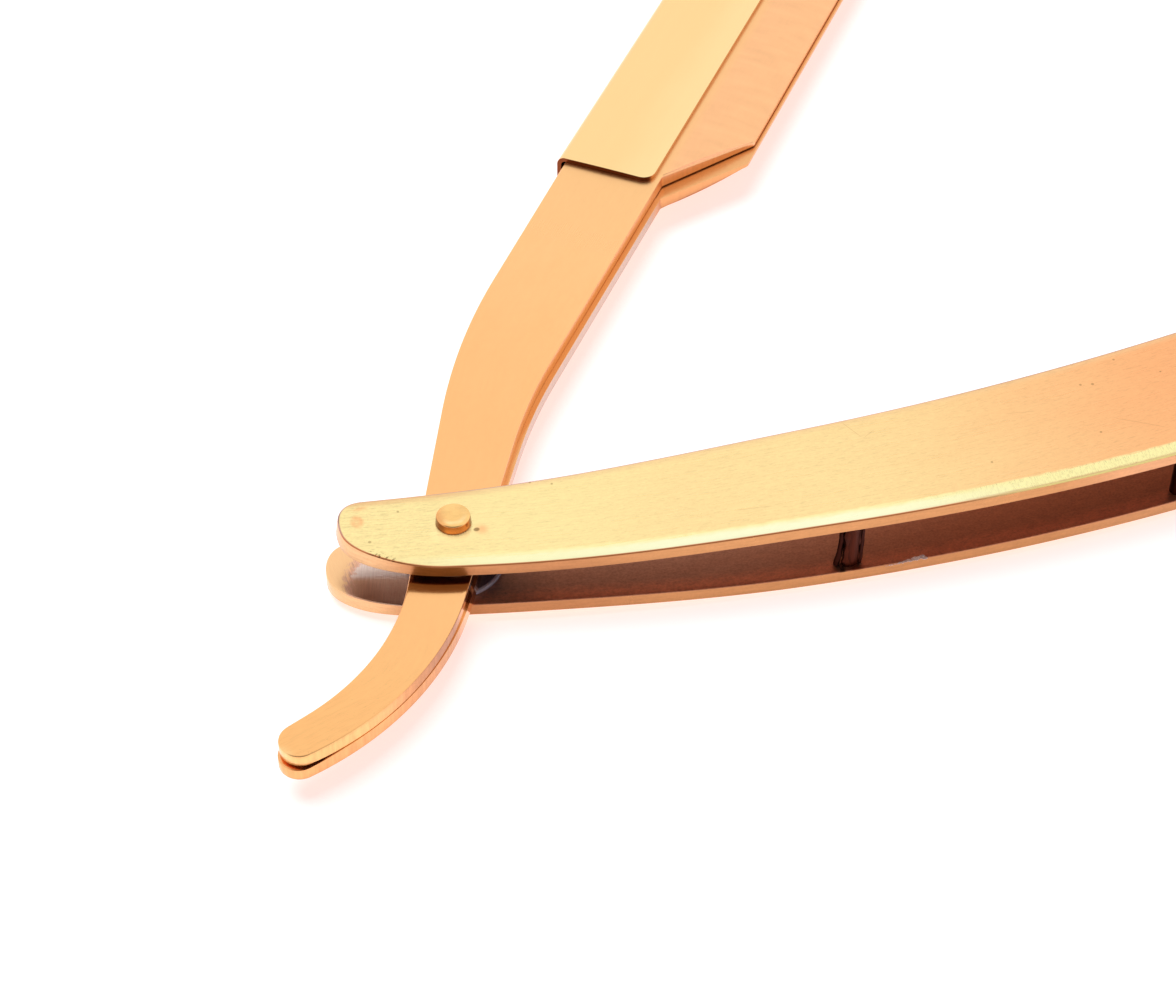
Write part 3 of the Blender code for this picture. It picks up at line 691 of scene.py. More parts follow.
class Tree:
    """The node tree of a material or of the world."""

    def __init__(self, owner):
        owner.use_nodes = True
        self.nodes = owner.node_tree.nodes
        self.links = owner.node_tree.links

    def put(self, socket, value):
        """Links the socket to a value, or sets it to a constant."""
        if isinstance(value, Value):
            self.links.new(value.socket, socket)
        elif socket.type == "VECTOR":
            socket.default_value = value[:3]
        else:
            socket.default_value = value

    def fill(self, node, given, output=0):
        """Gives a node its inputs, and returns one of its outputs."""
        for socket, value in given.items():
            self.put(node.inputs[socket], value)
        return Value(self, node.outputs[output])

    def node(self, kind, given, output=0, **settings):
        node = self.nodes.new(kind)
        for name, setting in settings.items():
            setattr(node, name, setting)
        return self.fill(node, given, output)

    def math(self, operation, *values):
        return self.node("ShaderNodeMath", dict(enumerate(values)), operation=operation)

    def strongest(self, first, *others):
        for other in others:
            first = self.math("MAXIMUM", first, other)
        return first

    def end(self, output, surface):
        self.put(self.nodes[output].inputs["Surface"], surface)


class Look(Tree):
    """A metal's node tree, with one short call for each kind of pattern.

    Places are in mm, in the object's frame or in that of a piece that stands turned within it.
    """

    def __init__(self, name, metallic=1.0, stand=None):
        self.material = bpy.data.materials.new(name)
        super().__init__(self.material)
        self.surface = self.nodes["Principled BSDF"].inputs
        self.surface["Metallic"].default_value = metallic
        place = self.node("ShaderNodeTexCoord", {}, "Object")
        normal = self.node("ShaderNodeTexCoord", {}, "Normal")
        if stand:
            place = self.turned(place, "POINT", stand)
            normal = self.turned(normal, "VECTOR", stand)
        place = self.node("ShaderNodeVectorMath", {0: place, "Scale": 1 / MM}, operation="SCALE")
        self.x, self.y, self.z = self.split(place)
        self.facing_x, self.facing_y, self.facing = self.split(normal)

    def turned(self, vector, kind, stand):
        """A place or a direction, as seen from a frame that is turned and raised."""
        given = {"Vector": vector, "Rotation": (0.0, 0.0, -stand.to_euler().z)}
        if kind == "POINT":
            given["Location"] = (0.0, 0.0, -stand.translation.z)
        return self.node("ShaderNodeMapping", given, vector_type=kind)

    def split(self, vector):
        return [self.node("ShaderNodeSeparateXYZ", {0: vector}, axis) for axis in range(3)]

    def coats(self, colour, *coats):
        """The colour under coats of others, each one given with its share."""
        for share, coat in coats:
            given = {0: share, 6: colour, 7: coat}
            colour = self.node("ShaderNodeMix", given, 2, data_type="RGBA", clamp_factor=True)
        return colour

    def shade(self, colour, strength):
        """The colour made lighter or darker by a value near 1."""
        given = {0: colour, "Scale": strength}
        return self.node("ShaderNodeVectorMath", given, operation="SCALE")

    def noise(self, x, y, z, detail=3.0):
        """Soft noise about 0.5, one unit of x, y or z to each blot."""
        place = self.node("ShaderNodeCombineXYZ", {0: x, 1: y, 2: z})
        given = {"Vector": place, "Scale": 1.0, "Detail": detail, "Roughness": 0.5}
        return self.node("ShaderNodeTexNoise", given)

    def grain(self, length, width, along=None, across=None, detail=3.0):
        """Noise drawn out along one way, with blots of this length and width in mm."""
        along = (along or self.x) * (1 / length)
        across = (across or self.y) * (1 / width)
        return self.noise(along, across, self.z * (1 / length), detail)

    def distance(self, x, y, stretch=1.0):
        """Distance in the plane from a point, with its y counted by the stretch."""
        dx = self.x - x
        dy = (self.y - y) * stretch
        return self.math("SQRT", dx * dx + dy * dy)

    def spot(self, x, y, radius, soft=0.5, stretch=1.0):
        """1 at a point, falling to 0 at the radius."""
        return self.distance(x, y, stretch).falls(radius * (1 - soft), radius)

    def scratch(self, start, end, width):
        """1 along a straight scratch, falling to 0 at its sides."""
        run = Vector(end) - Vector(start)
        way = run.normalized()
        dx = self.x - start[0]
        dy = self.y - start[1]
        along = dx * way.x + dy * way.y
        aside = dy * way.x - dx * way.y
        started = along.rises(0.0, 0.2 * run.length)
        return abs(aside).falls(0.0, width) * (started * along.falls(0.7 * run.length, run.length))

    def bump(self, height, depth, below=None):
        """Relief of this depth in mm from a height of 0 to 1."""
        given = {"Strength": 1.0, "Distance": depth * MM, "Height": height}
        if below:
            given["Normal"] = below
        return self.node("ShaderNodeBump", given)

    def finish(self, colour, roughness, normal=None):
        self.put(self.surface["Base Color"], colour)
        self.put(self.surface["Roughness"], roughness)
        if normal:
            self.put(self.surface["Normal"], normal)
        return self.material


class PlateLook(Look):
    """A handle plate's look, with the grains and places that its finishes share."""

    def __init__(self, name):
        super().__init__(name)
        self.ring = self.distance(*BRUSH_CENTRE)
        self.streaks = self.grain(6.0, 0.17, across=self.ring)
        self.dashes = self.grain(0.8, 0.1, across=self.ring)
        self.mottle = self.grain(0.8, 0.35, across=self.ring)
        self.clouds = self.grain(14.0, 5.0, across=self.ring)
        self.specks = self.grain(0.24, 0.2)
        self.inset = self.node("ShaderNodeAttribute", {}, "Fac", attribute_name="inset")
        self.concave = self.distance(CONCAVE_LOW_X / MM, (CONCAVE_LOW_Y + CONCAVE_RADIUS) / MM)
        self.convex = self.distance(CONVEX_LOW_X / MM, (CONVEX_LOW_Y + CONVEX_RADIUS) / MM)


def handle_metal(name, upper):
    """Brushed gold plate: chamfer and edges in their own tones with painted shade on rims and
    sides, and a dull brown inner face of painted shade.
    """
    look = PlateLook(name)
    outward = look.facing * (1 if upper else -1)
    inward = outward.falls(-0.6, -0.25)
    top = plate_top(look)
    inner = plate_inside(look)
    if upper:
        # painted shade: the underside by the pivot is coated near black, so that the arm under it
        # shows a dark reflection
        inner = look.coats(inner, (look.x.falls(*INNER_SHADE_END, 0.85), FLUX_AND_SHADE_BROWN))
        top, mark, relief = upper_wear(look, top)
    else:
        inner = pin_stain(look, lower_front(look, inner))
        mark = look.x.falls(*SMOOTH_FRONT_END, -0.06)
        relief = look.streaks
    colour = look.coats(plate_side(look, upper), (outward.rises(0.25, 0.6), top), (inward, inner))

    pale_rim = look.inset.falls(0.05, 0.4) * look.x.rises(*RIM_PALE_START)
    pale_rim = pale_rim * outward.rises(0.15, 0.4)
    roughness = 0.24 + look.streaks * 0.1 + inward * 0.1 + pale_rim * 0.45 + mark
    normal = look.bump(relief, 0.002)
    normal = look.bump(look.dashes, 0.0012, normal)
    normal = look.bump(look.specks * inward, 0.01, normal)
    return look.finish(colour, roughness, normal)


def plate_top(look):
    """The outer face: yellow at the pivot, peach at the far end, with a thin rim of painted shade,
    brown in front and grey at the back, turning pale yellow at the far end.
    """
    place = look.x + (look.clouds - 0.5) * 8.0
    top = look.coats(
        YELLOW_GOLD,
        (place.rises(*YELLOW_END), PLAIN_GOLD),
        (place.rises(*PEACH_START), PEACH_GOLD),
        (look.concave.falls(*CONCAVE_RIM, 0.75), CONCAVE_GOLD),
    )
    uneven = (look.streaks - 0.5) * 0.13 + (look.mottle - 0.5) * 0.13 + (look.specks - 0.5) * 0.15
    uneven = uneven - look.dashes.rises(0.52, 0.7, 0.1)
    top = look.shade(top, 1.01 + uneven * look.x.step(*COARSE_END, 1.7, 1.0))
    # painted shade on the rounded rim: brown on the front, grey where it faces the back
    edge = look.coats(RIM_SHADE_BROWN, (look.x.rises(*RIM_PALE_START), CHAMFER_YELLOW))
    edge = look.coats(RIM_SHADE_GREY, (look.facing_y.falls(-0.2, 0.2), edge))
    return look.coats(top, chamfer(look), (look.inset.falls(0.09, 0.2), edge))


def chamfer(look):
    """The ground convex edge as a coat: near white by the pivot, then rough and yellow."""
    reach = look.convex + (look.streaks - 0.5) * 0.35 + (look.mottle - 0.5) * 0.3
    share = reach.rises(*CHAMFER_INNER_RIM) * look.x.rises(*CHAMFER_START)
    upper_part = reach.falls(*CHAMFER_UPPER_PART)
    low_part = reach.rises(*CHAMFER_LOW_PART)
    grind = look.grain(0.1, 1.6, across=look.ring, detail=4.0)
    flecks = look.grain(0.1, 0.35, across=look.ring, detail=4.0).rises(0.57, 0.63)
    worn = grind.step(0.46, 0.66, 1.03, 0.9) - flecks * (0.1 + upper_part * 0.2)
    rough = look.shade(CHAMFER_YELLOW, worn + (look.specks - 0.5) * 0.1)
    rough = look.coats(rough, (low_part * 0.6, BRIGHT_EDGE_GOLD))
    white = look.x.rises(*CHAMFER_WHITE_START)
    smooth = look.coats(CHAMFER_CREAM, (white, CHAMFER_GOLD), (upper_part, CHAMFER_YELLOW))
    smooth = look.shade(smooth, 0.97 + look.mottle * 0.06)
    return share, look.coats(smooth, (look.x.rises(*CHAMFER_ROUGH_START), rough))


def plate_side(look, upper):
    """The cut sides: brown painted shade near the pivot, brighter at both ends, and painted shade
    darkening the foot.
    """
    side = look.coats(
        EDGE_GOLD,
        (look.x.rises(*SIDE_BRIGHT_START, 1.0 if upper else 0.3), BRIGHT_EDGE_GOLD),
        # painted shade near the pivot, where the side reflects the arm and the dark gap
        (look.x.falls(*SIDE_SHADE_END, 0.5), SIDE_SHADE_BROWN),
        (look.x.falls(*SIDE_FRONT_END, 0.8), FRONT_SIDE_GOLD),
    )
    tone = look.noise(look.x * 0.5, look.y * 0.5, look.z * 4.0)
    pores = look.noise(look.x * 4.0, look.y * 4.0, look.z * 4.0)
    foot_z = UPPER_SIDE_FOOT_Z if upper else LOWER_SIDE_FOOT_Z
    # painted shade: darker towards the foot, by the floor
    foot = look.z.falls(foot_z, foot_z + 0.9, -0.16)
    return look.shade(side, 0.73 + (tone * 0.36 + pores * 0.24) + foot)


def plate_inside(look):
    """The inner face, painted with the shade between the plates: dull brown, redder at the far end
    and along the convex edge.
    """
    place = look.x + look.clouds * 12.0
    near_edge = (look.convex + look.mottle).rises(*INNER_EDGE)
    inner = look.coats(
        INNER_SHADE_BROWN, (place.rises(*INNER_RED_START), INNER_RED), (near_edge * 0.7, INNER_EDGE_RED)
    )
    return look.shade(inner, 0.45 + (look.specks * 0.7 + look.mottle * 0.4))


def upper_wear(look, top):
    """The upper plate's colour with its small marks, and what they add in roughness and relief."""
    pits = look.strongest(*[look.spot(*pit) for pit in UPPER_PITS])
    scratches = look.strongest(*[look.scratch(*mark) for mark in UPPER_SCRATCHES])
    dent = look.spot(*UPPER_DENT, stretch=1.2)
    halo = look.spot(*DENT_HALO, soft=0.9)
    scuff = look.spot(*UPPER_SCUFF, stretch=0.8) * look.grain(0.5, 0.4, detail=2.0)
    smear = look.spot(*UPPER_SMEAR, soft=0.9, stretch=3.0) * look.grain(0.5, 0.3, detail=2.0)
    front = look.x.falls(*WORN_FRONT_END)
    corner = look.y.falls(0.0, 1.2) * look.x.between(*CHIPPED_CORNER)
    chipped = look.grain(0.3, 0.16, detail=4.0).rises(0.53, 0.6)
    chip = look.inset.falls(0.1, 0.9) * corner * (front * chipped)
    patchy = look.grain(1.6, 1.6, detail=2.0).step(0.42, 0.6, 0.25, 0.8)
    dirt = (look.concave - look.streaks * 2.4).falls(*CONCAVE_DIRT)
    top = look.coats(
        top,
        (dirt * look.x.falls(*EDGE_DIRT_END, 0.5), EDGE_DIRT),
        (halo * 0.6, PEACH_GOLD),
        (look.strongest(scuff, smear), PEACH_GOLD),
        (pits * 0.5, PIT_BROWN),
        (scratches * 0.35, EDGE_GOLD),
        (dent * 0.8, PIT_BROWN),
        (look.inset.falls(0.0, 0.2) * (front * patchy), DARK_LINE),
        (chip * 0.8, DARK_LINE),
    )
    holes = look.strongest(pits, dent, chip * 0.4, scratches * 0.2)
    # painted light: the plate is made less metallic in front of the rivet, hiding the rivet's dark
    # reflection in it
    dull = look.spot(*RIVET_REFLECTION_DULLING, soft=0.6) * 0.8
    look.put(look.surface["Metallic"], 1.0 - dull)
    return top, scuff * 0.15 + dull * 0.1, look.streaks - holes * 6.0


def pin_stain(look, inner):
    """The dark stain that flux left between the front spacer pin's foot and the plate's edge."""
    low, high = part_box("spacer_pin_front")
    middle = (low + high) / 2 / MM
    blots = look.grain(0.7, 0.5)
    for start, end, width, colour in STAIN_RUNS:
        start = (middle.x + start[0], middle.y + start[1])
        end = (middle.x + end[0], middle.y + end[1])
        share = look.scratch(start, end, width) * (0.5 + blots)
        inner = look.coats(inner, (look.math("MINIMUM", share, 0.9), colour))
    return inner


def lower_front(look, inner):
    """The bare front end of the lower plate's inner face: paler, with a grey band of painted
    reflection across it and a rough rim round it.
    """
    rough = look.grain(0.45, 0.45, detail=5.0)
    fine = look.grain(1.1, 0.12, along=look.y, across=look.x)
    reach = look.distance(*FRONT_CENTRE) + (rough - 0.5) * 1.5 + (fine - 0.5) * 1.2
    slanted = look.x * 0.94 - look.y * 0.34
    onward = look.y * 0.94 + look.x * 0.34
    scratches = look.grain(2.0, 0.13, along=onward, across=slanted)
    # painted reflection: a grey band across the bare metal
    shine = (look.y + look.x * 0.35 + scratches * 0.6).rises(-2.0, -1.1)
    light = look.x.rises(*BARE_LIGHT_START)
    bare = look.coats(BARE_BROWN, (light, BARE_LIGHT_BROWN), (shine, BARE_REFLECTION_GREY))
    found = look.coats(
        look.shade(bare, 0.78 + scratches * 0.4),
        (reach.rises(*FRONT_FUZZ_REACH), look.shade(FRONT_FUZZ, 0.4 + fine * 0.9)),
        (reach.rises(*FRONT_GOLD_REACH), look.shade(FRONT_GOLD, 0.92 + fine * 0.16)),
    )
    return look.coats(inner, (look.x.falls(*BARE_FRONT_END), found))


def arm_metal(name, stand):
    """Warm gold over faint brushing that follows the arm, with a softly rippled jaw."""
    look = Look(name, stand=stand)
    bent = look.math("SMOOTH_MIN", look.math("SMOOTH_MAX", look.x, -17.0, 4.0), 24.0, 6.0)
    tail = look.math("SMOOTH_MIN", look.x + 17.0, 0.0, 5.0)
    across = look.y - (bent * 0.2 + tail * -0.62)
    streaks = look.grain(3.5, 0.15, across=across)
    mottle = look.grain(0.9, 0.4, across=across)
    clouds = look.grain(6.0, 3.0, across=across, detail=2.0)
    ripples = look.grain(1.1, 4.0, detail=1.5)
    spots = look.grain(0.3, 0.3, detail=2.0).rises(0.66, 0.76)
    handled = look.x.falls(*HANDLED_END)
    jaw = look.y.falls(0.0, 1.6) * look.x.rises(*JAW_LOOK_START)
    colour = look.coats(
        ARM_GOLD,
        ((look.x + clouds * 22.0).rises(*ARM_PALE_START), ARM_PALE_GOLD),
        (handled, TAIL_GOLD),
        (jaw, JAW_GOLD),
    )
    uneven = ((streaks - 0.5) * 0.08 + (mottle - 0.5) * 0.08) * (0.7 + handled)
    uneven = uneven + (ripples - 0.5) * (jaw * 0.18) - spots * (handled * 0.1)
    flat = abs(look.facing)
    mouth = abs(look.z).falls(0.4, 0.6) * flat.rises(0.5, 0.8)
    # partly wear and partly painted highlight: a pale spot at the tail's tip
    tip_wear_and_highlight = look.spot(*ARM_TIP_WEAR_AND_HIGHLIGHT, soft=0.8) * look.grain(0.4, 0.4)
    colour = look.coats(
        arm_side(look),
        (flat.rises(0.35, 0.75), look.shade(colour, 1.0 + uneven)),
        (mouth, ARM_INSIDE),
        (tip_wear_and_highlight * look.z.rises(0.6, 1.0), PALE_GOLD_HIGHLIGHT),
    )
    roughness = 0.2 + streaks * 0.08 + look.x.rises(*SMOOTH_ARM_END, 0.08)
    roughness = roughness - look.x.between(*UNDER_PLATE) * 0.1
    normal = look.bump(streaks, 0.0015)
    return look.finish(colour, roughness, look.bump(ripples * jaw, 0.015, normal))


def arm_side(look):
    """The colour of the arm's upright sides, much of it painted shade and painted light."""
    lower = look.z.falls(-0.1, 0.1)
    near_pivot = look.x.between(*PIVOT_SHADE) * (1.0 - lower * 0.5)
    heel = look.x.rises(*HEEL_START)
    side = look.coats(
        ARM_SIDE_GOLD,
        # painted reflection of the pale floor on the shank's lower side
        (look.x.between(*SHANK) * lower, ARM_SIDE_FLOOR_REFLECTION),
        # painted highlight on the upper half's side towards the tail's tip
        (look.x.falls(*TAIL_SIDE_END) * (1.0 - lower), TAIL_SIDE_HIGHLIGHT),
        # painted shade on the sides near the pivot, under the plate
        (near_pivot * 0.9, SIDE_SHADE_BROWN),
        # painted light: a glow on the sides just before the pivot
        (look.x.between(*PIVOT_GLOW), ARM_PIVOT_GLOW),
        # painted shade low on the heel, where it reflects the shadowed floor
        (heel * look.z.step(-1.5, -0.2, 1.0, 0.4) * 0.6, SIDE_SHADE_BROWN),
        # painted light on the upper half's heel, as lit as the face above it
        (heel * look.z.rises(0.0, 0.2), HEEL_PAINTED_LIGHT),
    )
    upright = look.noise(look.x * 3.0, look.y * 3.0, look.z * 0.4)
    side = look.shade(side, 1.0 + (upright - 0.5) * look.x.step(0.0, 10.0, 0.5, 0.2))
    # painted shade: darker towards the top and bottom rims
    return look.shade(side, abs(look.z).step(0.9, 1.4, 1.0, 0.88))


def sleeve_metal(name, stand):
    """Pale gold sheet, rolled smooth, with a painted highlight towards its open edge and painted
    shade on its bend and its cut edges.
    """
    look = Look(name, stand=stand)
    streaks = look.grain(9.0, 0.8, detail=2.0)
    clouds = look.grain(9.0, 4.0, detail=2.0)
    # painted highlight towards the open edge
    near_edge = (look.y + clouds * 3.0).falls(3.0, 8.5)
    colour = look.coats(SLEEVE_GOLD, (near_edge, PALE_GOLD_HIGHLIGHT))
    colour = look.coats(
        look.shade(colour, 0.985 + streaks * 0.03),
        # painted shade on the bend
        (look.facing_y.rises(0.25, 0.75) * 0.8, ARM_PALE_GOLD),
        # painted shade on the cut edges of the sheet
        (look.facing_y.falls(-0.8, -0.4) * 0.9, SLEEVE_LONG_EDGE_SHADE),
        (abs(look.facing_x).rises(0.4, 0.7), SLEEVE_CUT_SHADE),
    )
    return look.finish(colour, 0.2 + streaks * 0.06, look.bump(streaks, 0.0006))


def rivet_metal(name):
    """Polished gold, a little uneven from its forming, redder down its side, with painted shade at
    its foot, on its left and right and over the top's left part, and a painted highlight ring on
    top.
    """
    look = Look(name)
    smear = look.grain(0.9, 0.7)
    fine = look.grain(0.25, 0.2, detail=2.0)
    ring = look.distance(0.0, 0.0)
    lit = ring.between(*RIVET_LIT_RING) * look.y.step(-1.0, -0.1, 1.0, 0.1)
    colour = look.coats(
        RIVET_SIDE,
        (look.facing.rises(0.2, 0.8), RIVET_GOLD),
        # painted shade over the top's left part
        (look.x.falls(-1.4, -0.4, 0.5), RIVET_SIDE),
        (lit * (0.2 + smear), PALE_GOLD_HIGHLIGHT),
    )
    colour = look.shade(colour, 0.8 + smear * 0.4)
    # painted shade: darker at the foot and on the left and right sides
    foot = look.z.step(RIVET_FOOT_Z, RIVET_FOOT_Z + 0.25, 0.8, 1.0)
    side_shade = abs(look.facing_x).rises(0.55, 0.9, 0.65)
    colour = look.shade(colour, foot - look.facing.falls(0.3, 0.7) * side_shade)
    normal = look.bump(fine, 0.003, look.bump(smear, 0.03))
    return look.finish(colour, 0.12 + fine * 0.14, normal)


def pin_metal(name):
    """Pins painted dull brown as the shade between the plates, streaked along, blackened by flux
    on the side that faces the rivet and by painted shade on the opposite side.
    """
    look = Look(name)
    streaks = look.noise(look.x * 5.0, look.y * 5.0, look.z * 0.6)
    blots = look.grain(0.6, 0.6)
    # flux on the side towards the rivet, painted shade on the opposite side
    black = look.strongest(
        (look.facing_x + blots * 0.8).falls(-0.5, 0.3), look.facing_x.rises(0.5, 0.8)
    )
    colour = look.coats(look.shade(PIN_SHADE_BROWN, 0.5 + streaks), (black, FLUX_AND_SHADE_BROWN))
    return look.finish(colour, 0.3 + blots * 0.2, look.bump(streaks, 0.02))


def clear_nylon(name, outer_radius):
    """Hazy clear washer plastic, dark inside with painted shade and whitish round its rim with a
    painted highlight.
    """
    look = Look(name, metallic=0.0)
    look.surface["Transmission Weight"].default_value = 0.55
    look.surface["IOR"].default_value = 1.4
    haze = look.grain(1.2, 1.2, detail=2.0)
    # painted highlight round the rim
    rim = look.distance(0.0, 0.0).rises(outer_radius - 0.35, outer_radius - 0.15)
    colour = look.coats(look.shade(NYLON_SHADE, 0.8 + haze * 0.3), (rim, NYLON_RIM_HIGHLIGHT))
    return look.finish(colour, 0.15 + haze * 0.1)


def flux(name):
    """Burnt flux: nearly black, with the dull shine of the metal it has run over."""
    look = Look(name)
    blots = look.grain(0.4, 0.4)
    colour = look.shade(FLUX_AND_SHADE_BROWN, 0.5 + blots)
    return look.finish(colour, 0.35 + blots * 0.3, look.bump(blots, 0.05))


def crust(name):
    """Dried polish, greyish white and crumbly, with metal dust in it."""
    look = Look(name, metallic=0.8)
    blots = look.grain(0.3, 0.3)
    return look.finish(look.shade(CRUST_WHITE, 0.45 + blots), 0.5, look.bump(blots, 0.08))


# Pieces of the handle


def plate_waves(x, y):
    return WAVE_HEIGHT * mathnoise.noise((x / WAVE_LENGTH, y / WAVE_LENGTH, 0.0))


def chamfer_depth(x, y):
    reach = math.hypot(x - CONVEX_LOW_X, y - CONVEX_LOW_Y - CONVEX_RADIUS)
    past = reach - CONVEX_RADIUS + CHAMFER_WIDTH
    soft = max(0.0, past) - CHAMFER_CREASE * smooth_step(past, 0.0, 4 * CHAMFER_CREASE) / 2
    return max(0.0, soft) * CHAMFER_DROP / CHAMFER_WIDTH


def flare(shape):
    """Lets the side at the front end lean out a little towards its foot."""
    reach, start, end = FRONT_FLARE
    for vertex in shape.verts:
        share = smooth_step(-vertex.co.x, start, end) * (1 - vertex.co.z / PLATE_THICKNESS)
        vertex.co.x -= reach * share


def handle_plate(side, material):
    """A plate with a ground chamfer, rounded rims and the bow that the rivet's pull gives it."""
    upper = side == "upper"
    low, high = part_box(f"scale_{side}")
    shape = slab(
        handle_outline(low.x, high.x, CORNER_ROUND_SHARE if upper else FULL_ROUND_SHARE),
        PLATE_THICKNESS,
        rim(PLATE_EDGE_ROUND, 3, INNER_FACE_RINGS),
        rim(PLATE_EDGE_ROUND, 4, OUTER_FACE_RINGS),
    )
    height, start, end = UPPER_BOW if upper else LOWER_BOW
    cross_cut(shape, 0, spread(low.x, end, BOW_CUT) + spread(end, high.x, FLAT_CUT))
    cross_cut(shape, 1, spread(low.y, high.y, CROSS_CUT))
    base = low.z if upper else high.z - PLATE_THICKNESS
    if upper:
        flare(shape)

    def bowed(x, y):
        return height * smooth_step(x, start, end) + base + plate_waves(x, y)

    def bottom(x, y):
        return bowed(x, y) + (0.0 if upper else chamfer_depth(x + LOWER_PLATE_SHIFT, y))

    def top(x, y):
        return bowed(x, y) + PLATE_THICKNESS - (chamfer_depth(x, y) if upper else 0.0)

    reshape(shape, PLATE_THICKNESS, bottom, top)
    obj = mesh_object(f"plate_{side}", shape)
    drill(obj, 0.0, 0.0, RIVET_RADIUS + HOLE_CLEARANCE)
    give(obj, material, "handle", "plate_gold", f"scale_{side}")


def head_profile(radius, face, top):
    """The head of a rivet in (radius, z) points, from its crown's centre to under its rim."""
    out = 1 if top > face else -1
    shoulder = radius - RIVET_TAPER
    flat = shoulder - RIVET_HEAD_ROUND
    crown_radius = (flat**2 + RIVET_CROWN**2) / (2 * RIVET_CROWN)
    profile = []
    steps = RIVET_CROWN_STEPS
    for i in range(steps):
        reach = flat * i / steps
        drop = crown_radius - math.sqrt(crown_radius**2 - reach**2)
        ring = max(0.0, 1 - abs(reach - RIVET_RING_RADIUS) / (2 * flat / steps))
        profile.append((reach, top - out * (drop + ring * RIVET_RING_DEPTH)))
    for i in range(steps + 1):
        angle = math.pi / 2 * i / steps
        inset = RIVET_HEAD_ROUND * (1 - math.sin(angle))
        drop = RIVET_CROWN + RIVET_HEAD_ROUND * (1 - math.cos(angle))
        profile.append((shoulder - inset, top - out * drop))
    profile.append((radius, face + out * RIVET_UNDERCUT))
    profile.append((radius - RIVET_UNDERCUT, face))
    return profile


def rivet(material):
    low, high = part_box("pivot_rivet")
    radius = high.x
    upper = head_profile(radius + RIVET_SPREAD, high.z - RIVET_HEAD_HEIGHT, high.z + RIVET_RISE)
    lower = head_profile(radius, low.z + RIVET_HEAD_HEIGHT, low.z)
    stem = [(RIVET_RADIUS, high.z - RIVET_HEAD_HEIGHT), (RIVET_RADIUS, low.z + RIVET_HEAD_HEIGHT)]
    obj = turned("rivet_polished", upper + stem + lower[::-1])
    give(obj, material, "handle", "rivet_gold", "pivot_rivet")


def washer(node, material):
    low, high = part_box(node)
    inner = RIVET_RADIUS + HOLE_CLEARANCE
    outer = high.x
    soft = WASHER_EDGE_ROUND
    bend = [(0.0, 0.0)]
    for share in WASHER_BEND_SHARES:
        angle = math.pi / 2 * share
        bend.append((math.sin(angle), 1 - math.cos(angle)))
    bend.append((1.0, 1.0))
    profile = [(inner, high.z)]
    profile += [(outer - soft * (1 - out), high.z - soft * drop) for out, drop in bend]
    profile += [(outer - soft * (1 - out), low.z + soft * drop) for out, drop in bend[::-1]]
    obj = turned(f"{node}_clear", profile + [(inner, low.z)])
    give(obj, material, "handle", "clear_nylon", node)


def spacer_pin(name, material):
    """A drawn pin with the slightly lumpy side that flux and coating leave."""
    low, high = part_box(f"spacer_{name}")
    centre = (low + high) / 2
    radius = (high.x - low.x) / 2 - PIN_ROUGHNESS
    places = spread(low.z, high.z, PIN_FACET)
    profile = [(0.0, high.z)] + [(radius, z) for z in reversed(places)] + [(0.0, low.z)]
    obj = turned(name, profile)
    for vertex in obj.data.vertices:
        outward = Vector((vertex.co.x, vertex.co.y, 0.0))
        if outward.length > radius / 2:
            place = Vector((vertex.co.x, vertex.co.y, vertex.co.z / 2)) / MM * PIN_ROUGH_SCALE
            place += Vector((centre.x, 0.0, 0.0)) / MM
            vertex.co += outward.normalized() * PIN_ROUGHNESS * mathnoise.noise(place)
    obj.data.transform(Matrix.Translation((centre.x, centre.y, 0.0)))
    give(obj, material, "handle", "pin_gold", f"spacer_{name}")


def flux_run(name, run, material):
    """A run down the front spacer pin's side, from its place and radius on top to those below."""
    head, foot, flatness = run
    low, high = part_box("spacer_pin_front")
    centre = (low + high) / 2
    shape = bmesh.new()
    rings = []
    for i in range(FLUX_RUN_RINGS + 1):
        share = i / FLUX_RUN_RINGS
        x, y, radius = (a + (b - a) * share**3 for a, b in zip(head, foot))
        z = high.z - FLUX_RUN_MARGIN + (low.z - high.z + 2 * FLUX_RUN_MARGIN) * share
        ring = []
        for j in range(FLUX_RUN_SIDES):
            angle = 2 * math.pi * j / FLUX_RUN_SIDES
            out = Vector((math.cos(angle), flatness * math.sin(angle), 0.0))
            lump = FLUX_RUN_LUMPS * mathnoise.noise(out + Vector((0.0, 0.0, z / MM)))
            reach = radius * (1 + lump)
            ring.append(shape.verts.new(Vector((centre.x + x, centre.y + y, z)) + out * reach))
        rings.append(ring)
    skin(shape, rings[::-1])
    shape.faces.new(rings[0])
    shape.faces.new(rings[-1][::-1])
    give(mesh_object(name, shape), material, "handle", "pin_gold")


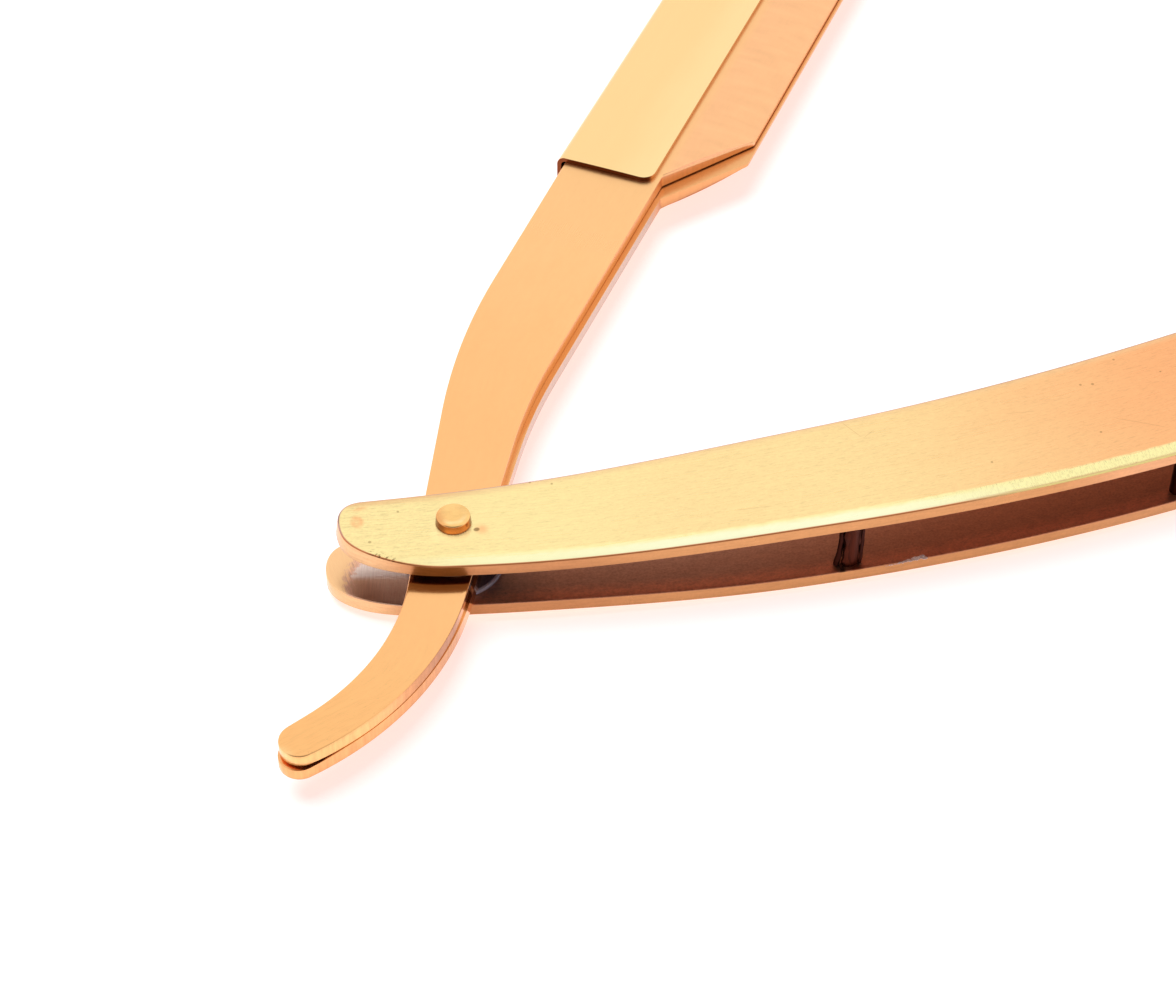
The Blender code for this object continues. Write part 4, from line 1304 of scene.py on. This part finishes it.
def polish_crust(material):
    """Dried polish caught at the lower plate's inner edge, beside the front spacer pin."""
    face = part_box("scale_lower")[1].z + LOWER_BOW[0]
    chance = random.Random(CRUST_SEED)
    shape = bmesh.new()
    for i in range(CRUST_CRUMBS):
        share = (i + chance.random()) / CRUST_CRUMBS
        x = CRUST_START_X + (CRUST_END_X - CRUST_START_X) * share
        grown = CRUST_LEAST_SHARE + (1 - CRUST_LEAST_SHARE) * chance.random()
        size = CRUST_SIZE * grown * (CRUST_START_SHARE + share)
        y = edge_height(x + LOWER_PLATE_SHIFT, *CONVEX) + size * CRUST_SEAT_SHARE
        y += CRUST_SIZE * share * CRUST_BAND_SHARE * chance.random()
        before = len(shape.verts)
        bmesh.ops.create_icosphere(shape, subdivisions=2, radius=1.0)
        shape.verts.ensure_lookup_table()
        for vertex in shape.verts[before:]:
            lump = 1 + CRUST_LUMPS * mathnoise.noise(vertex.co * 2 + Vector((x, y, 0.0)) / MM)
            vertex.co *= lump * size
            vertex.co = vertex.co * Vector(CRUST_FLAT_SHARES) + Vector((x, y, face))
    give(mesh_object("polish_crust", shape), material, "handle", "clear_nylon")


# Pieces of the arm


def arm_place():
    """Where the arm's frame stands: turned open about the pivot, at the height of its middle."""
    joint = next(found for found in frame["joints"] if found["name"] == "sleeve_slide")
    along = Vector(joint["axis"])
    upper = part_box("arm_half_upper")
    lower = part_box("arm_half_lower")
    turn = Matrix.Rotation(math.atan2(along.y, along.x), 4, "Z")
    return Matrix.Translation((0.0, 0.0, (upper[0].z + lower[1].z) / 2)) @ turn


def tail_relief(x, y):
    """How far the inner face opens towards the tail's tip."""
    run = Vector((TAIL_BEND_OUTER[0] - TAIL_REACH, TAIL_TIP_OUTER_Y + TAIL_BEND_OUTER[1]))
    way = run.normalized()
    middle = (TAIL_TIP_INNER[1] + TAIL_TIP_OUTER_Y) / 2
    root = Vector((-TAIL_REACH, middle)) - way * TAIL_RELIEF_LENGTH
    along = (Vector((x, y)) - root).dot(way)
    return max(0.0, along) * TAIL_RELIEF_DEPTH / TAIL_RELIEF_LENGTH


def arm_half(side, material, place):
    """One half of the arm: soft outer rims, a jaw rolled thin and a mouth at the tail's tip."""
    upper = side == "upper"
    inner = (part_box("arm_half_upper")[0].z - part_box("arm_half_lower")[1].z) / 2
    shape = slab(
        arm_outline(upper),
        ARM_PLATE,
        rim(ARM_INNER_EDGE_ROUND, 2),
        rim(ARM_EDGE_ROUND, 4, ARM_FACE_RINGS),
    )
    heel = LOWER_JAW[1]
    nose = JAW_START + JAW_LENGTH
    cross_cut(shape, 1, spread(ROLL_CUT_EDGE, JAW_ROLL_START + MM, ROLL_CUT))
    cross_cut(shape, 1, [BLADE_POCKET_BACK, BLADE_POCKET_BACK - STEP_WIDTH])
    cross_cut(shape, 0, [heel, heel + STEP_WIDTH])
    cross_cut(shape, 0, spread(heel + MM, nose - MM, JAW_CUT))
    cross_cut(shape, 0, spread(MM - TAIL_REACH, TAIL_CUT_END, TAIL_CUT))

    def low(x, y):
        pocket = x > heel + STEP_MARGIN and y < BLADE_POCKET_BACK - STEP_MARGIN
        gap = inner * (CLOSED_GAP_SHARE if x < heel else 1.0)
        return gap + tail_relief(x, y) + (BLADE_POCKET_DEPTH if pocket else 0.0)

    def high(x, y):
        across = JAW_ROLL_START - y
        if x < heel or across < 0:
            return inner + ARM_PLATE
        roll = JAW_ROLL_RADIUS - math.sqrt(JAW_ROLL_RADIUS**2 - across**2)
        ripple = JAW_RIPPLE * mathnoise.noise((x / JAW_RIPPLE_WIDTH, y / JAW_RIPPLE_LENGTH, 0.0))
        return inner + ARM_PLATE - roll + ripple * smooth_step(across, 0.0, MM)

    reshape(shape, ARM_PLATE, low, high)
    if not upper:
        mirror = Matrix.Diagonal((1.0, 1.0, -1.0, 1.0))
        bmesh.ops.transform(shape, matrix=mirror, verts=shape.verts)
    obj = mesh_object(f"arm_{side}", shape)
    drill(obj, 0.0, 0.0, RIVET_RADIUS + HOLE_CLEARANCE)
    jaw_middle = (UPPER_JAW[2] + nose) / 2
    for x in (jaw_middle - STUD_PITCH / 2, jaw_middle + STUD_PITCH / 2):
        drill(obj, x, BLADE_POCKET_BACK, STUD_RADIUS + HOLE_CLEARANCE)
    obj.data.transform(place)
    give(obj, material, "arm", "arm_gold", f"arm_half_{side}")


def sleeve_profile(x, half):
    """The sleeve's outer line across at one place: its upper side, its bend and its lower side."""
    from_end = min(x - JAW_START, JAW_START + SLEEVE_LENGTH - x)
    short = max(0.0, SLEEVE_CORNER_ROUND - from_end)
    corner = SLEEVE_CORNER_ROUND - math.sqrt(SLEEVE_CORNER_ROUND**2 - short**2)
    start = SLEEVE_EDGE_Y + corner
    flat_end = SPINE_Y + SLEEVE_SPINE_GAP + SHEET - SLEEVE_BEND
    upper = []
    for share in SLEEVE_FLAT_SHARES:
        crown = SLEEVE_CROWN * math.sin(math.pi * share)
        upper.append((start + (flat_end - start) * share, half + crown - SLEEVE_CROWN / 2))
    for i in range(1, SLEEVE_BEND_STEPS + 1):
        angle = math.pi / 2 * i / SLEEVE_BEND_STEPS
        bend = (SLEEVE_BEND * math.sin(angle), SLEEVE_BEND * (1 - math.cos(angle)))
        upper.append((flat_end + bend[0], half - bend[1]))
    return upper + [(y, -z) for y, z in reversed(upper)]


def sleeve(material, place):
    """The folded sheet that holds the jaws shut: one bent surface, thickened and edge-rounded."""
    low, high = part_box("blade_sleeve")
    shape = bmesh.new()
    rows = []
    for i in range(SLEEVE_STATIONS + 1):
        turn = math.pi * i / SLEEVE_STATIONS
        x = JAW_START + SLEEVE_LENGTH * (1 - math.cos(turn)) / 2
        profile = sleeve_profile(x, (high.z - low.z) / 2)
        rows.append([shape.verts.new((x, y, z)) for y, z in profile])
    skin(shape, rows, closed=False)
    shape.normal_update()
    outward = max(shape.faces, key=lambda face: face.calc_center_median().z)
    if outward.normal.z < 0:
        bmesh.ops.reverse_faces(shape, faces=shape.faces)
    obj = mesh_object("sleeve_folded", shape, closed=False)
    sheet = obj.modifiers.new("sheet", "SOLIDIFY")
    sheet.thickness = SHEET
    sheet.offset = -1.0
    sheet.use_even_offset = True
    settle(obj)
    rounding = obj.modifiers.new("edges", "BEVEL")
    rounding.width = SLEEVE_EDGE_ROUND
    rounding.segments = 3
    rounding.limit_method = "ANGLE"
    rounding.angle_limit = SLEEVE_EDGE_ANGLE
    settle(obj)
    obj.data.transform(place)
    give(obj, material, "sleeve", "sleeve_gold", "blade_sleeve")


# Surroundings


def camera():
    data = bpy.data.cameras.new("photo_camera")
    data.sensor_width = SENSOR_WIDTH
    data.lens = FOCAL_PIXELS / PHOTO_WIDTH * SENSOR_WIDTH
    data.clip_start = CAMERA_CLIP_START
    obj = new_object("photo_camera", data)
    obj.location = CAMERA_PLACE
    obj.rotation_euler = (CAMERA_TILT, 0.0, CAMERA_HEADING)
    bpy.context.scene.camera = obj


def seen_rays(tree):
    """1 for camera, glossy and transmission rays, which show the white background."""
    rays = [f"Is {kind} Ray" for kind in ("Camera", "Glossy", "Transmission")]
    return tree.strongest(*[tree.node("ShaderNodeLightPath", {}, kind) for kind in rays])


def sky():
    """White to the camera; to metal a soft dome, bright behind and overhead, dimmer in front."""
    world = bpy.data.worlds.new("studio")
    bpy.context.scene.world = world
    tree = Tree(world)
    way = tree.node("ShaderNodeTexCoord", {}, "Generated")
    given = {0: way, 1: DIM_DIRECTION}
    nearness = tree.node("ShaderNodeVectorMath", given, "Value", operation="DOT_PRODUCT")
    dome = nearness.step(DIM_RIM, DIM_CORE, SKY_BRIGHT, SKY_DIM)
    to_camera = tree.node("ShaderNodeLightPath", {}, "Is Camera Ray")
    strength = tree.node("ShaderNodeMix", {0: to_camera, 2: dome, 3: 1.0})
    light = tree.fill(tree.nodes["Background"], {"Color": WHITE, "Strength": SKY_LIGHT})
    shown = tree.node("ShaderNodeBackground", {"Color": WHITE, "Strength": strength})
    both = tree.node("ShaderNodeMixShader", {0: seen_rays(tree), 1: light, 2: shown})
    tree.end("World Output", both)


def floor():
    bpy.ops.mesh.primitive_plane_add(size=FLOOR_SIZE, location=(0.0, 0.0, CAD_BOX[0][2]))
    obj = bpy.context.object
    obj.name = "floor"
    material = bpy.data.materials.new("floor_white")
    tree = Tree(material)
    tree.nodes.remove(tree.nodes["Principled BSDF"])
    matte = tree.node("ShaderNodeBsdfDiffuse", {"Color": FLOOR_COLOUR})
    glow = tree.node("ShaderNodeEmission", {"Color": FLOOR_GLOW_COLOUR, "Strength": FLOOR_GLOW})
    share = seen_rays(tree) * FLOOR_GLOW_SHARE
    tree.end("Material Output", tree.node("ShaderNodeMixShader", {0: share, 1: matte, 2: glow}))
    obj.data.materials.append(material)


def lamp():
    """One broad soft light, high up and a little behind the object; the sky serves the metal."""
    data = bpy.data.lights.new("key", "SUN")
    data.angle = LAMP_SPREAD
    data.energy = LAMP_STRENGTH
    obj = new_object("key", data)
    obj.location = LAMP_PLACE
    obj.rotation_euler = (-Vector(LAMP_PLACE)).to_track_quat("-Z", "Y").to_euler()
    obj.visible_glossy = False


def build():
    bpy.context.scene.view_settings.view_transform = "Standard"
    camera()
    sky()
    floor()
    lamp()
    for side in SIDES:
        handle_plate(side, handle_metal(f"plate_{side}_gold", side == "upper"))
    rivet(rivet_metal("rivet_gold"))
    nylon = clear_nylon("washer_nylon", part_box("washer_upper")[1].x / MM)
    for side in SIDES:
        washer(f"washer_{side}", nylon)
    dark = pin_metal("pin_brown")
    for place in ("front", "middle", "end"):
        spacer_pin(f"pin_{place}", dark)
    for name, run in FLUX_RUNS.items():
        flux_run(name, run, flux("flux_black"))
    flux_run("braze_skin", BRAZE_SKIN, pin_metal("braze_brown"))
    polish_crust(crust("crust_white"))
    place = arm_place()
    gold = arm_metal("arm_gold", place)
    for side in SIDES:
        arm_half(side, gold, place)
    sleeve(sleeve_metal("sleeve_gold", place), place)
    for node in ("blade_stud_heel", "blade_stud_nose"):
        stud = frame["nodes"][node]
        stud.data.materials.clear()
        stud.data.materials.append(dark)


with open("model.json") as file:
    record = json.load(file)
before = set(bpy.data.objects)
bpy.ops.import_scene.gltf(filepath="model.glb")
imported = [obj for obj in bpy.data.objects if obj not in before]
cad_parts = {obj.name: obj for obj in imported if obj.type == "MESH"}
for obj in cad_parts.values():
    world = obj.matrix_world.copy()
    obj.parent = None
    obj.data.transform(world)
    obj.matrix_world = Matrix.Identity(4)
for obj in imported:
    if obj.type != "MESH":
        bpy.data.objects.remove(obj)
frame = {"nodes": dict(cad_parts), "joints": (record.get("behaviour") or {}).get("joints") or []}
CAD_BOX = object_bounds()
build()
